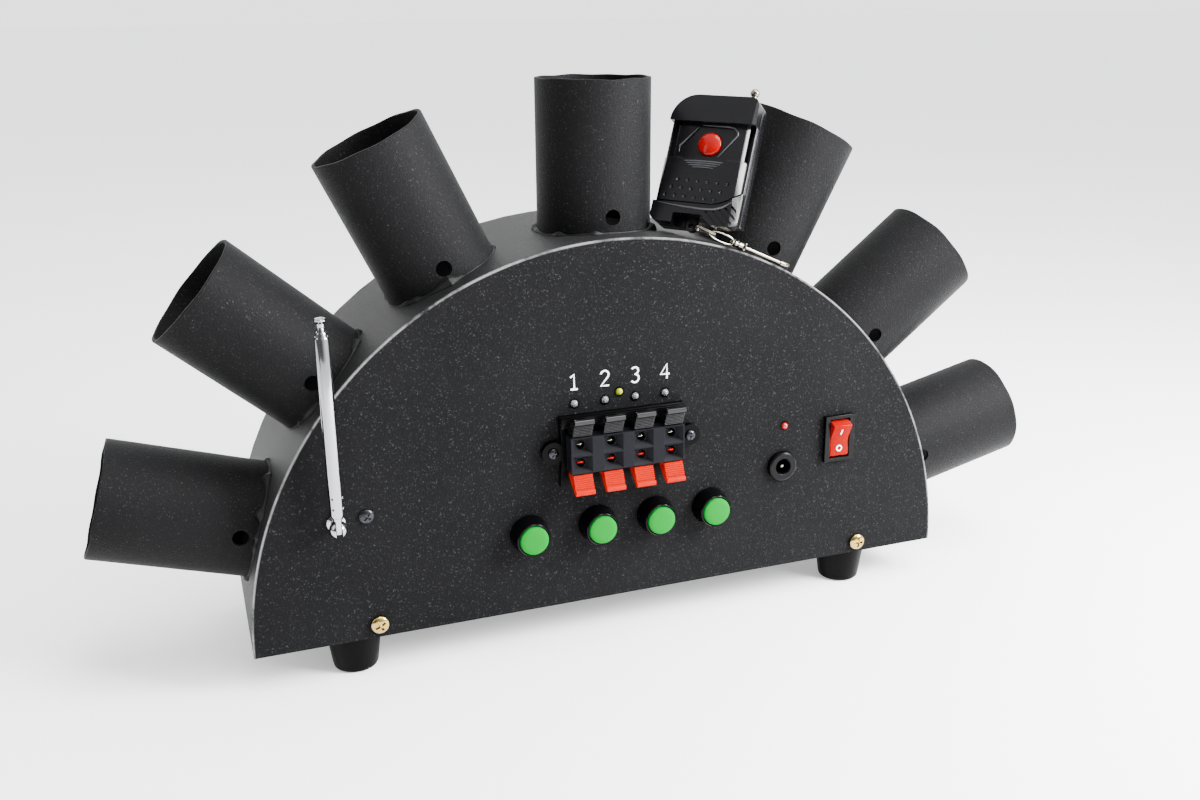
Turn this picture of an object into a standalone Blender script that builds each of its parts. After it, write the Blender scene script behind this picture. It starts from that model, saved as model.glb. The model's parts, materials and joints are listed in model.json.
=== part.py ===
"""Seven-barrel cold spark machine, in metres, Z up.

The origin is on the surface that the feet stand on, under the middle of the
whole machine. X runs to the right along the front panel and Y runs from the
front panel to the back panel.
"""

import math

import bmesh
import bpy
from mathutils import Matrix, Vector

# Clearances
GAP = 0.0003
EDGE = 0.0003

# Case
ARC_RADIUS = 0.160
CASE_DEPTH = 0.086
SHEET = 0.0015
FLANGE_HEIGHT = 0.012
ARC_STEPS = 40

# Barrels, in degrees round the arc from the right hand end as they stand in the photograph
BARREL_ANGLES = (163.1, 138.9, 115.0, 89.4, 62.5, 38.1, 13.4)
BARREL_RADIUS = 0.0246
BARREL_WALL = 0.0015
BARREL_LENGTH = 0.0624
BARREL_SETBACK = 0.0365
BARREL_STEPS = 28
WIRE_HOLE_RADIUS = 0.0033
WIRE_HOLE_HEIGHT = 0.0066

# Feet
FOOT_HEIGHT = 0.017
FOOT_TOP_RADIUS = 0.0115
FOOT_BOTTOM_RADIUS = 0.0095
FOOT_FROM_END = 0.042
FOOT_X = ARC_RADIUS - FOOT_FROM_END
FOOT_INSET = 0.013
FOOT_STEM = 0.0022
FOOT_BARB = 0.0034
FOOT_BARB_HEIGHT = 0.0030
FOOT_STEPS = 14

# Screws
SCREW_SHANK = 0.0019
SCREW_HEAD = 0.0039
SCREW_HEAD_HEIGHT = 0.0024
SMALL_SHANK = 0.0013
SCREW_STEPS = 12
LEFT_SCREW_FROM_END = 0.0515
RIGHT_SCREW_FROM_END = 0.0408
CASE_SCREWS = ((LEFT_SCREW_FROM_END - ARC_RADIUS, 0.0061), (ARC_RADIUS - RIGHT_SCREW_FROM_END, 0.0055))
ANTENNA_SCREW_FROM_END = 0.0495
ANTENNA_SCREW = (ANTENNA_SCREW_FROM_END - ARC_RADIUS, 0.0552)

# Push terminal
TERMINAL_CENTRE = (-0.0004, 0.0720)
TERMINAL_PITCH = 0.0137
TERMINAL_BASE = (0.0566, 0.0310)
TERMINAL_BASE_HEIGHT = 0.0030
TERMINAL_LEDGE = 0.0026
TERMINAL_LEDGE_HEIGHT = 0.0052
EAR_SPAN = 0.0312
EAR_RADIUS = 0.0050
BLOCK_HEIGHT = 0.0160
BLOCK_FRONT = 0.0100
FUNNEL = (0.0089, 0.0074)
FUNNEL_DEPTH = 0.0030
WIRE_BORE = 0.0020
CONTACT = (0.0028, 0.0014)
CONTACT_TAIL = 0.009
CONTACT_TIP = 0.0050
LEVER_WIDTH = 0.0085
LEVER_PIVOT_DROP = 0.0020
LEVER_PIVOT_OUT = 0.0050
LEVER_NOSE = 0.0015
LEVER_LIP = 0.0086
LEVER_RIBS = 5
RIB_HEIGHT = 0.0003

# Lights
LED_HEIGHT = 0.0920
LED_RADIUS = 0.0015
LED_RISE = 0.0001
BOARD_LIP = 0.0034
LED_FLANGE = 0.0020
MIDDLE_LED = (-0.0008, 0.0949)
SIGNAL_LED_FROM_END = 0.0814
SIGNAL_LED = (ARC_RADIUS - SIGNAL_LED_FROM_END, 0.0691)
LED_STEPS = 8

# Push buttons, as they stand in the photograph
BUTTON_X = (-0.0426, -0.0118, 0.0153, 0.0417)
BUTTON_HEIGHT = 0.0363
BUTTON_CAP = 0.0062
BUTTON_CAP_RISE = 0.0009
BUTTON_TRAVEL = 0.0020
BUTTON_STEM = 0.0022
COLLAR_BASE = 0.0085
COLLAR_TOP = 0.0073
COLLAR_HEIGHT = 0.0082
BUTTON_BARREL = 0.0057
BUTTON_DEPTH = 0.0150
NUT_RADIUS = 0.0088
NUT_HEIGHT = 0.0030
BUTTON_STEPS = 20

# Power inlet
JACK_FROM_END = 0.0825
JACK_CENTRE = (ARC_RADIUS - JACK_FROM_END, 0.0502)
JACK_FLANGE = 0.0070
JACK_FLANGE_HEIGHT = 0.0025
JACK_BARREL = 0.0056
JACK_DEPTH = 0.0120
JACK_BORE = 0.0036
JACK_BORE_DEPTH = 0.0095
JACK_PIN = 0.0011
JACK_NUT = 0.0084

# Rocker switch
SWITCH_FROM_END = 0.0540
SWITCH_CENTRE = (ARC_RADIUS - SWITCH_FROM_END, 0.0602)
SWITCH_FLANGE = (0.0150, 0.0220)
SWITCH_FLANGE_HEIGHT = 0.0026
SWITCH_BODY = (0.0126, 0.0204)
SWITCH_DEPTH = 0.0150
SWITCH_POCKET = (0.0100, 0.0188)
SWITCH_POCKET_DEPTH = 0.0060
ROCKER_WIDTH = 0.0094
ROCKER_HALF = 0.0080
ROCKER_END_RISE = 0.0042
ROCKER_MIDDLE_RISE = 0.0029
ROCKER_PIVOT_DEPTH = 0.0004
ROCKER_TILT = math.radians(11.0)

# Telescopic antenna, measured from the pin of its fork
ANTENNA_FROM_END = 0.0372
ANTENNA_CENTRE = (ANTENNA_FROM_END - ARC_RADIUS, 0.0545)
ANTENNA_PIN_OUT = 0.0080
ANTENNA_BALL = 0.0037
ANTENNA_NECK = 0.0022
ANTENNA_FOOT = 0.0037
ANTENNA_SLOT = 0.0026
ANTENNA_PIN = 0.0007
TONGUE_WIDTH = 0.0020
TONGUE_RADIUS = 0.0023
MAST_START = 0.0042
MAST_TOP = 0.0790
SECTION_RADII = (0.00285, 0.00215, 0.00145, 0.00075)
SECTION_STEP = 0.0017
SECTION_FLOOR = 0.0080
TIP_CAP = 0.0023
TIP_CAP_HEIGHT = 0.0036
ANTENNA_STEPS = 14

# Inside the case
BATTERY = (0.090, 0.034, 0.042)
BATTERY_X = -0.002
BATTERY_SETBACK = 0.030
STRAP = 0.0012
STRAP_WIDTH = 0.020
STRAP_FOOT = 0.012
BOARD = (0.110, 0.060, 0.0016)
BOARD_HEIGHT = 0.082
BOARD_STANDOFF = 0.008
POST_RADIUS = 0.0030
BOARD_MARGIN = 0.006
RELAY = (0.019, 0.015, 0.015)
RELAY_PITCH = 0.024

# Remote transmitter, leaning back against the flank of the fifth barrel
REMOTE_SHARE = 0.2225
REMOTE_ALONG = REMOTE_SHARE * ARC_RADIUS
REMOTE_RISE = 0.0028
REMOTE_FOLLOW = 0.75
REMOTE_TUCK = 0.0110
REMOTE_NEST = REMOTE_FOLLOW * REMOTE_ALONG - REMOTE_TUCK
REMOTE_YAW = math.radians(-45.0)
REMOTE_LEAN = math.radians(27.0)
REMOTE_TILT = math.radians(-2.0)
REMOTE_LENGTH = 0.0564
REMOTE_TOP = 0.0382
REMOTE_BOTTOM = 0.0386
REMOTE_THICK = 0.0130
REMOTE_SPLIT = 0.0060
REMOTE_CORNER = 0.0035
REMOTE_BIG_CORNER = 0.0090
REMOTE_ROUND = 0.0018
REMOTE_DECK = 0.0098
DECK_WIDTH = 0.0326
HEAD_HEIGHT = 0.0118
HEAD_START = REMOTE_LENGTH - HEAD_HEIGHT
TAIL_END = 0.0088
TAIL_HEIGHT = 0.0124
COVER_ROOM = 0.0163
COVER_LENGTH = HEAD_START - COVER_ROOM - TAIL_END - GAP
COVER_INSET = 0.0008
COVER_WALL = 0.0012
COVER_CHAMFER = 0.0020
COVER_FOOT = 0.0068
DIMPLE = 0.0006
DIMPLE_PITCH = 0.0044
DIMPLE_ROW_PITCH = 0.0036
DIMPLE_ROW_SHIFT = 0.0022
DIMPLE_FALL = 0.0002
DIMPLE_START = (0.0014, -0.0072)
KEY_RADIUS = 0.0051
KEY_BELOW_HEAD = 0.0088
KEY_PLACE = (0.0, HEAD_START - KEY_BELOW_HEAD)
KEY_TOP = 0.0115
KEY_TRAVEL = 0.0008
WHIP_X = 0.0130
WHIP_Z = 0.0038
WHIP = 0.0010
WHIP_START = 0.012
WHIP_COLLAR = 0.0024
WHIP_COLLAR_RISE = 0.0018
WHIP_BALL = 0.0020
WHIP_NECK = 0.0012
LUG_X = -0.0027
LUG_HOLE = 0.0012
LUG_HEIGHT = 0.0012
LUG_END = -0.0013
LUG_WIDTH = 0.0046
LUG_LOW = 0.0020
LUG_HIGH = 0.0048
NOTCH_LEFT = -0.0090
NOTCH_RIGHT = (0.0030, 0.0098)
NOTCH_TOP = 0.0036
NOTCH_FOOT = -0.0010
BACK_RELIEF = 0.0022

# Key ring and snap hook, measured along the chain
RING_RADIUS = 0.0058
RING_WIRE = 0.0006
RING_DROP = math.radians(13.0)
HOOK_TURN = (math.radians(13.3), math.radians(50.8), math.radians(7.8))
EYE = (0.0062, 0.0018)
EYE_WIRE = 0.0006
EYE_SLACK = 0.0030
NECK_RADIUS = 0.0017
NECK_LENGTH = 0.0042
LOOP_LENGTH = 0.0242
LOOP_HALF = 0.0032
LOOP_WIRE = 0.0012
LOOP_NOSE = 0.0020
GATE_WIRE = 0.0008
GATE_DROP = 0.0006

# Depth of the case, set back so that the levers in front and the screw heads behind balance
CASE_MIDDLE = (LEVER_PIVOT_OUT + LEVER_LIP - SCREW_HEAD_HEIGHT - GAP) / 2
FRONT = CASE_MIDDLE - CASE_DEPTH / 2
BACK = CASE_MIDDLE + CASE_DEPTH / 2
QUARTER = math.pi / 2


def start_clean():
    """Empty the scene and make the two collections."""
    for old in list(bpy.data.objects):
        bpy.data.objects.remove(old, do_unlink=True)
    made = []
    for name in ("cold_spark_machine", "cutters"):
        collection = bpy.data.collections.new(name)
        bpy.context.scene.collection.children.link(collection)
        made.append(collection)
    return made


PARTS, CUTTERS = start_clean()


# Materials

def finish(name, colour, roughness, metallic=0.0):
    """One Principled material."""
    made = bpy.data.materials.new(name)
    made.use_nodes = True
    shader = made.node_tree.nodes["Principled BSDF"]
    shader.inputs["Base Color"].default_value = (*colour, 1.0)
    shader.inputs["Roughness"].default_value = roughness
    shader.inputs["Metallic"].default_value = metallic
    made.diffuse_color = (*colour, 1.0)
    return made


FINISHES = {
    "powder_coat": ((0.022, 0.022, 0.024), 0.62, 0.0),
    "rim_coat": ((0.045, 0.045, 0.047), 0.42, 0.0),
    "rubber": ((0.012, 0.012, 0.012), 0.80, 0.0),
    "brass": ((0.72, 0.50, 0.16), 0.32, 1.0),
    "zinc": ((0.55, 0.56, 0.58), 0.40, 1.0),
    "chrome": ((0.86, 0.86, 0.87), 0.10, 1.0),
    "black_plastic": ((0.014, 0.014, 0.015), 0.40, 0.0),
    "grey_plastic": ((0.095, 0.095, 0.105), 0.48, 0.0),
    "dark_plastic": ((0.050, 0.050, 0.055), 0.40, 0.0),
    "red_plastic": ((0.90, 0.10, 0.02), 0.38, 0.0),
    "green_plastic": ((0.04, 0.62, 0.15), 0.36, 0.0),
    "red_lens": ((0.75, 0.03, 0.02), 0.15, 0.0),
    "battery_wrap": ((0.03, 0.06, 0.20), 0.45, 0.0),
    "board_green": ((0.02, 0.16, 0.06), 0.45, 0.0),
    "nickel": ((0.62, 0.60, 0.56), 0.25, 1.0),
}


# Meshes

def evaluated_mesh(shape, name):
    """Turn a curve, or a mesh with modifiers, into a plain welded mesh."""
    bpy.context.view_layer.update()
    depsgraph = bpy.context.evaluated_depsgraph_get()
    mesh = bpy.data.meshes.new_from_object(shape.evaluated_get(depsgraph))
    mesh.name = name
    bpy.data.objects.remove(shape, do_unlink=True)
    work = bmesh.new()
    work.from_mesh(mesh)
    bmesh.ops.remove_doubles(work, verts=work.verts, dist=0.000001)
    work.to_mesh(mesh)
    work.free()
    return mesh


def circle_points(radius, steps, centre=(0.0, 0.0)):
    """Points round a circle."""
    turns = [2 * math.pi * i / steps for i in range(steps)]
    return [(centre[0] + radius * math.cos(t), centre[1] + radius * math.sin(t)) for t in turns]


def arc_points(radius, start, end, steps, centre=(0.0, 0.0)):
    """Points on an arc, both ends included, angles in radians."""
    turns = [start + (end - start) * i / steps for i in range(steps + 1)]
    return [(centre[0] + radius * math.cos(t), centre[1] + radius * math.sin(t)) for t in turns]


def rectangle_points(width, height, centre=(0.0, 0.0)):
    """Corners of a rectangle."""
    signs = ((-1, -1), (1, -1), (1, 1), (-1, 1))
    return [(centre[0] + sx * width / 2, centre[1] + sy * height / 2) for sx, sy in signs]


def rounded_points(corners, steps=4):
    """An outline whose corners, each x, y and radius, are rounded."""
    points = []
    count = len(corners)
    for i, (x, y, radius) in enumerate(corners):
        here = Vector((x, y))
        before = (Vector(corners[i - 1][:2]) - here).normalized()
        after = (Vector(corners[(i + 1) % count][:2]) - here).normalized()
        half = before.angle(after) / 2
        centre = here + (before + after).normalized() * (radius / math.sin(half))
        start = here + before * (radius / math.tan(half)) - centre
        end = here + after * (radius / math.tan(half)) - centre
        first = math.atan2(start.y, start.x)
        sweep = math.atan2(end.y, end.x) - first
        sweep = (sweep + math.pi) % (2 * math.pi) - math.pi
        points += arc_points(radius, first, first + sweep, steps, (centre.x, centre.y))
    return points


def plate(name, outline, thickness, holes=()):
    """A flat outline with holes, given thickness along its Z and centred on it."""
    curve = bpy.data.curves.new(name, "CURVE")
    curve.dimensions = "2D"
    curve.fill_mode = "BOTH"
    curve.extrude = thickness / 2
    for loop in (outline, *holes):
        spline = curve.splines.new("POLY")
        spline.points.add(len(loop) - 1)
        for point, (x, y) in zip(spline.points, loop):
            point.co = (x, y, 0.0, 1.0)
        spline.use_cyclic_u = True
    shape = bpy.data.objects.new(name, curve)
    CUTTERS.objects.link(shape)
    return evaluated_mesh(shape, name)


def turned(name, profile, steps, closed=False):
    """A profile of radius and height, top to bottom on its outer side, turned about Z."""
    mesh = bpy.data.meshes.new(name)
    edges = [(i, i + 1) for i in range(len(profile) - 1)]
    if closed:
        edges.append((len(profile) - 1, 0))
    mesh.from_pydata([(radius, 0.0, height) for radius, height in profile], edges, [])
    shape = bpy.data.objects.new(name, mesh)
    CUTTERS.objects.link(shape)
    screw = shape.modifiers.new("Turn", "SCREW")
    screw.axis = "Z"
    screw.steps = steps
    screw.render_steps = steps
    screw.use_merge_vertices = True
    screw.merge_threshold = 0.000001
    return evaluated_mesh(shape, name)


def wire(name, points, radius, closed=False, sides=2):
    """A round wire along points."""
    curve = bpy.data.curves.new(name, "CURVE")
    curve.dimensions = "3D"
    curve.bevel_depth = radius
    curve.bevel_resolution = sides
    curve.use_fill_caps = not closed
    spline = curve.splines.new("POLY")
    spline.points.add(len(points) - 1)
    for point, place in zip(spline.points, points):
        point.co = (*place, 1.0)
    spline.use_cyclic_u = closed
    shape = bpy.data.objects.new(name, curve)
    CUTTERS.objects.link(shape)
    return evaluated_mesh(shape, name)


class Solids:
    """Several separate solids gathered in one mesh."""

    def __init__(self):
        self.work = bmesh.new()

    def block(self, low, high):
        """A box between two corners."""
        low, high = Vector(low), Vector(high)
        place = Matrix.Translation((low + high) / 2) @ Matrix.Diagonal((*(high - low), 1.0))
        bmesh.ops.create_cube(self.work, size=1.0, matrix=place)
        return self

    def rod(self, radius, start, end, steps=SCREW_STEPS, end_radius=None):
        """A cylinder or cone between two points."""
        start, end = Vector(start), Vector(end)
        along = end - start
        turn = along.to_track_quat("Z", "Y").to_matrix().to_4x4()
        place = Matrix.Translation((start + end) / 2) @ turn
        last = radius if end_radius is None else end_radius
        bmesh.ops.create_cone(
            self.work, cap_ends=True, segments=steps, radius1=radius,
            radius2=last, depth=along.length, matrix=place)
        return self

    def funnel(self, mouth, throat, start, end):
        """A square pyramid frustum with a mouth of two widths and a smaller throat."""
        start, end = Vector(start), Vector(end)
        narrow = throat / mouth[0]
        size = Matrix.Diagonal((mouth[0], mouth[1], (end - start).length, 1.0))
        place = Matrix.Translation((start + end) / 2) @ size @ Matrix.Rotation(math.pi / 4, 4, "Z")
        bmesh.ops.create_cone(
            self.work, cap_ends=True, segments=4, radius1=narrow / math.sqrt(2),
            radius2=1 / math.sqrt(2), depth=1.0, matrix=place)
        return self

    def copy(self, mesh, place=(0.0, 0.0, 0.0)):
        """A copy of a finished mesh, moved to a place or by a matrix."""
        move = place if isinstance(place, Matrix) else Matrix.Translation(place)
        moved = mesh.copy()
        moved.transform(move)
        self.work.from_mesh(moved)
        bpy.data.meshes.remove(moved)
        return self

    def mesh(self, name):
        """The gathered solids as a mesh."""
        made = bpy.data.meshes.new(name)
        self.work.to_mesh(made)
        self.work.free()
        return made


# Objects

def shade(mesh, angle=40.0):
    """Smooth the round faces and keep the corners sharp."""
    mesh.shade_smooth()
    mesh.set_sharp_from_angle(angle=math.radians(angle))


def piece(name, mesh, look, holder=None, place=(0.0, 0.0, 0.0), turn=(0.0, 0.0, 0.0)):
    """One sub-part of the machine, in its own object with its own material."""
    shade(mesh)
    made = bpy.data.objects.new(name, mesh)
    PARTS.objects.link(made)
    made.parent = holder
    made.location = place
    made.rotation_euler = turn
    made.data.materials.clear()
    made.data.materials.append(finish(name + "_finish", *FINISHES[look]))
    return made


def cutter(name, mesh, holder=None, place=(0.0, 0.0, 0.0), turn=(0.0, 0.0, 0.0)):
    """A solid that only cuts or joins, kept out of the model."""
    made = bpy.data.objects.new(name, mesh)
    CUTTERS.objects.link(made)
    made.parent = holder
    made.location = place
    made.rotation_euler = turn
    made.hide_render = True
    made.display_type = "WIRE"
    return made


def combine(target, tool, operation="DIFFERENCE"):
    """Cut a tool out of a piece, or join it on."""
    change = target.modifiers.new(operation.title(), "BOOLEAN")
    change.operation = operation
    change.solver = "EXACT"
    change.object = tool
    return change


def soften(target, width, angle=50.0, segments=1):
    """Round off the sharp edges of a piece."""
    bevel = target.modifiers.new("Edges", "BEVEL")
    bevel.width = width
    bevel.segments = segments
    bevel.limit_method = "ANGLE"
    bevel.angle_limit = math.radians(angle)
    return bevel


def holder(name, place, turn=(0.0, 0.0, 0.0), parent=None):
    """An empty that carries the pieces of one sub-assembly."""
    made = bpy.data.objects.new(name, None)
    PARTS.objects.link(made)
    made.parent = parent
    made.location = place
    made.rotation_euler = turn
    return made


# Case, with the panels drawn in their own plane: X right, Y up, Z outwards

FRONT_FACE = holder("front_face", (0.0, FRONT, FOOT_HEIGHT), (QUARTER, 0.0, 0.0))
BACK_FACE = holder("back_face", (0.0, BACK, FOOT_HEIGHT), (QUARTER, 0.0, math.pi))


def terminal_x(column):
    """Middle of one terminal column."""
    return TERMINAL_CENTRE[0] + (column - 1.5) * TERMINAL_PITCH


def terminal_screws():
    """Middles of the two screws in the terminal's ears."""
    return [(TERMINAL_CENTRE[0] + side * EAR_SPAN, TERMINAL_CENTRE[1]) for side in (-1, 1)]


def half_disc():
    """Outline of a case panel."""
    return arc_points(ARC_RADIUS, 0.0, math.pi, ARC_STEPS)


def front_panel():
    """Half-round front sheet with a hole for each fitting."""
    holes = [circle_points(LED_RADIUS + GAP, LED_STEPS, (terminal_x(i), LED_HEIGHT)) for i in range(4)]
    holes += [circle_points(LED_RADIUS + GAP, LED_STEPS, place) for place in (MIDDLE_LED, SIGNAL_LED)]
    for x in BUTTON_X:
        holes.append(circle_points(BUTTON_BARREL + GAP, BUTTON_STEPS, (x, BUTTON_HEIGHT)))
    holes.append(circle_points(JACK_BARREL + GAP, BUTTON_STEPS, JACK_CENTRE))
    holes.append(rectangle_points(SWITCH_BODY[0] + 2 * GAP, SWITCH_BODY[1] + 2 * GAP, SWITCH_CENTRE))
    tabs = 3 * TERMINAL_PITCH + CONTACT[0] + 4 * GAP
    holes.append(rectangle_points(tabs, BLOCK_HEIGHT / 2 + CONTACT[1] + 4 * GAP, TERMINAL_CENTRE))
    for place in (*terminal_screws(), ANTENNA_SCREW):
        holes.append(circle_points(SMALL_SHANK + GAP, SCREW_STEPS, place))
    for place in CASE_SCREWS:
        holes.append(circle_points(SCREW_SHANK + GAP, SCREW_STEPS, place))
    holes.append(circle_points(ANTENNA_NECK + GAP, ANTENNA_STEPS, ANTENNA_CENTRE))
    mesh = plate("front_panel", half_disc(), SHEET, holes)
    return piece("front_panel", mesh, "powder_coat", FRONT_FACE, (0.0, 0.0, -SHEET / 2))


def back_panel():
    """Half-round back sheet, held by two screws like the front, with posts for the board."""
    holes = [circle_points(SCREW_SHANK + GAP, SCREW_STEPS, place) for place in CASE_SCREWS]
    mesh = plate("back_panel", half_disc(), SHEET, holes)
    made = piece("back_panel", mesh, "powder_coat", BACK_FACE, (0.0, 0.0, -SHEET / 2))
    posts = Solids()
    for x, y in board_corners():
        posts.rod(POST_RADIUS, (x, y, -SHEET - BOARD_STANDOFF), (x, y, -SHEET / 2))
    combine(made, cutter("board_posts", posts.mesh("board_posts"), BACK_FACE), "UNION")
    return made


def rim_band():
    """Sheet bent round the arc between the panels."""
    outer = arc_points(ARC_RADIUS, 0.0, math.pi, ARC_STEPS)
    inner = arc_points(ARC_RADIUS - SHEET, math.pi, 0.0, ARC_STEPS)
    width = CASE_DEPTH - 2 * (SHEET + GAP)
    mesh = plate("rim_band", outer + inner, width)
    return piece("rim_band", mesh, "rim_coat", FRONT_FACE, (0.0, 0.0, -CASE_DEPTH / 2))


def bottom_plate():
    """Bottom sheet with an upturned flange behind each panel."""
    half_depth = CASE_DEPTH / 2 - SHEET - GAP
    bend = SHEET / 2
    side = [(half_depth, FLANGE_HEIGHT), (half_depth, bend), (half_depth - bend, 0.0)]
    inner = [(half_depth - SHEET, FLANGE_HEIGHT), (half_depth - SHEET, SHEET)]
    right = side + [(-y, z) for y, z in reversed(side)]
    left = [(-y, z) for y, z in inner] + list(reversed(inner))
    half_width = math.sqrt((ARC_RADIUS - SHEET) ** 2 - FLANGE_HEIGHT ** 2) - 2 * GAP
    mesh = plate("bottom_plate", right + left, 2 * half_width)
    place = (0.0, CASE_MIDDLE, FOOT_HEIGHT)
    made = piece("bottom_plate", mesh, "powder_coat", None, place, (QUARTER, 0.0, QUARTER))
    drill = Solids()
    for x, z in CASE_SCREWS:
        height = FOOT_HEIGHT + z
        drill.rod(SCREW_SHANK + GAP, (x, FRONT, height), (x, FRONT + 3 * SHEET, height))
        drill.rod(SCREW_SHANK + GAP, (-x, BACK - 3 * SHEET, height), (-x, BACK, height))
    for x, y in foot_places():
        drill.rod(FOOT_STEM + GAP, (x, y, FOOT_HEIGHT - SHEET), (x, y, FOOT_HEIGHT + 2 * SHEET))
    combine(made, cutter("bottom_plate_holes", drill.mesh("bottom_plate_holes")))
    return made


def barrels():
    """Open tubes standing on the rim, each cut to the arc and drilled for its wire."""
    y = FRONT + BARREL_SETBACK
    rim = plate("saddle", circle_points(ARC_RADIUS + GAP, 2 * ARC_STEPS), 4 * BARREL_RADIUS)
    saddle = cutter("saddle", rim, None, (0.0, y, FOOT_HEIGHT), (QUARTER, 0.0, 0.0))
    top = ARC_RADIUS + BARREL_LENGTH
    foot = ARC_RADIUS - BARREL_RADIUS ** 2 / ARC_RADIUS
    inner = BARREL_RADIUS - BARREL_WALL
    profile = [(BARREL_RADIUS, top), (BARREL_RADIUS, foot), (inner, foot), (inner, top)]
    tube = turned("barrel", profile, BARREL_STEPS, closed=True)
    hole = ARC_RADIUS + WIRE_HOLE_HEIGHT
    drill = Solids().rod(WIRE_HOLE_RADIUS, (0.0, -2 * BARREL_RADIUS, hole), (0.0, 0.0, hole), 12)
    drill_mesh = drill.mesh("wire_hole")
    for number, angle in enumerate(BARREL_ANGLES, 1):
        turn = (0.0, QUARTER - math.radians(angle), 0.0)
        made = piece(f"barrel_{number}", tube.copy(), "powder_coat", None, (0.0, y, FOOT_HEIGHT), turn)
        combine(made, saddle)
        combine(made, cutter(f"wire_hole_{number}", drill_mesh, made))


# Feet and screws

def foot_places():
    """Middles of the four feet."""
    rows = (FRONT + FOOT_INSET, BACK - FOOT_INSET)
    return [(side * FOOT_X, y) for y in rows for side in (-1, 1)]


def feet():
    """Tapered rubber feet, each with a moulded stem that snaps into the bottom plate."""
    top = FOOT_HEIGHT - GAP
    inside = FOOT_HEIGHT + SHEET + GAP
    profile = [
        (0.0, inside + FOOT_BARB_HEIGHT), (FOOT_STEM * 0.6, inside + FOOT_BARB_HEIGHT),
        (FOOT_BARB, inside), (FOOT_STEM, inside), (FOOT_STEM, top), (FOOT_TOP_RADIUS, top),
        (FOOT_TOP_RADIUS, top - 0.0015), (FOOT_BOTTOM_RADIUS, 0.0012),
        (FOOT_BOTTOM_RADIUS - 0.0010, 0.0), (0.0, 0.0)]
    mesh = turned("foot", profile, FOOT_STEPS)
    names = ("foot_front_left", "foot_front_right", "foot_back_left", "foot_back_right")
    for name, (x, y) in zip(names, foot_places()):
        piece(name, mesh.copy(), "rubber", None, (x, y, 0.0))


def pan_screw(shank, head, height, length, steps=SCREW_STEPS):
    """A pan head screw: head above Z 0, shank below."""
    profile = [
        (0.0, height), (head * 0.55, height * 0.94), (head * 0.88, height * 0.62),
        (head, height * 0.22), (head, 0.0), (shank, 0.0), (shank, -length), (0.0, -length)]
    return turned("screw", profile, steps)


def case_screws():
    """Brass screws through both panels into the flanges of the bottom plate."""
    length = 3 * SHEET + 2 * GAP
    screw = pan_screw(SCREW_SHANK, SCREW_HEAD, SCREW_HEAD_HEIGHT, length)
    for side, (x, y) in zip(("left", "right"), CASE_SCREWS):
        piece(f"case_screw_front_{side}", screw.copy(), "brass", FRONT_FACE, (x, y, GAP))
    for side, (x, y) in zip(("right", "left"), CASE_SCREWS):
        piece(f"case_screw_back_{side}", screw.copy(), "brass", BACK_FACE, (x, y, GAP))


# Push terminal

def terminal_base():
    """Black base with two ears, a ledge above the levers and the contacts moulded in."""
    cx, cy = TERMINAL_CENTRE
    half_x, half_y = TERMINAL_BASE[0] / 2, TERMINAL_BASE[1] / 2
    reach = math.asin((EAR_SPAN - half_x + 0.0008) / EAR_RADIUS)
    outline = [(cx - half_x, cy - half_y), (cx + half_x, cy - half_y)]
    outline += arc_points(EAR_RADIUS, -QUARTER - reach, QUARTER + reach, 12, (cx + EAR_SPAN, cy))
    outline += [(cx + half_x, cy + half_y), (cx - half_x, cy + half_y)]
    outline += arc_points(EAR_RADIUS, QUARTER - reach, 3 * QUARTER + reach, 12, (cx - EAR_SPAN, cy))
    holes = [circle_points(SMALL_SHANK + GAP, SCREW_STEPS, place) for place in terminal_screws()]
    thickness = TERMINAL_BASE_HEIGHT - GAP
    mesh = plate("terminal_base", outline, thickness, holes)
    made = piece("terminal_base", mesh, "black_plastic", FRONT_FACE, (0.0, 0.0, GAP + thickness / 2))
    top = cy + half_y
    ledge = Solids().block(
        (cx - half_x + EDGE, top - TERMINAL_LEDGE, TERMINAL_BASE_HEIGHT / 2),
        (cx + half_x - EDGE, top - EDGE, TERMINAL_LEDGE_HEIGHT))
    combine(made, cutter("terminal_ledge", ledge.mesh("terminal_ledge"), FRONT_FACE), "UNION")
    strips = Solids()
    for x, y in terminal_ways():
        half_x, half_y = CONTACT[0] / 2, CONTACT[1] / 2
        strips.block((x - half_x, y - half_y, -CONTACT_TAIL), (x + half_x, y + half_y, CONTACT_TIP))
    combine(made, cutter("terminal_contacts", strips.mesh("terminal_contacts"), FRONT_FACE), "UNION")
    return made


def terminal_ways():
    """Middles of the eight wire ways."""
    quarter = BLOCK_HEIGHT / 4
    return [(terminal_x(i), TERMINAL_CENTRE[1] + side * quarter) for side in (1, -1) for i in range(4)]


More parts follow.
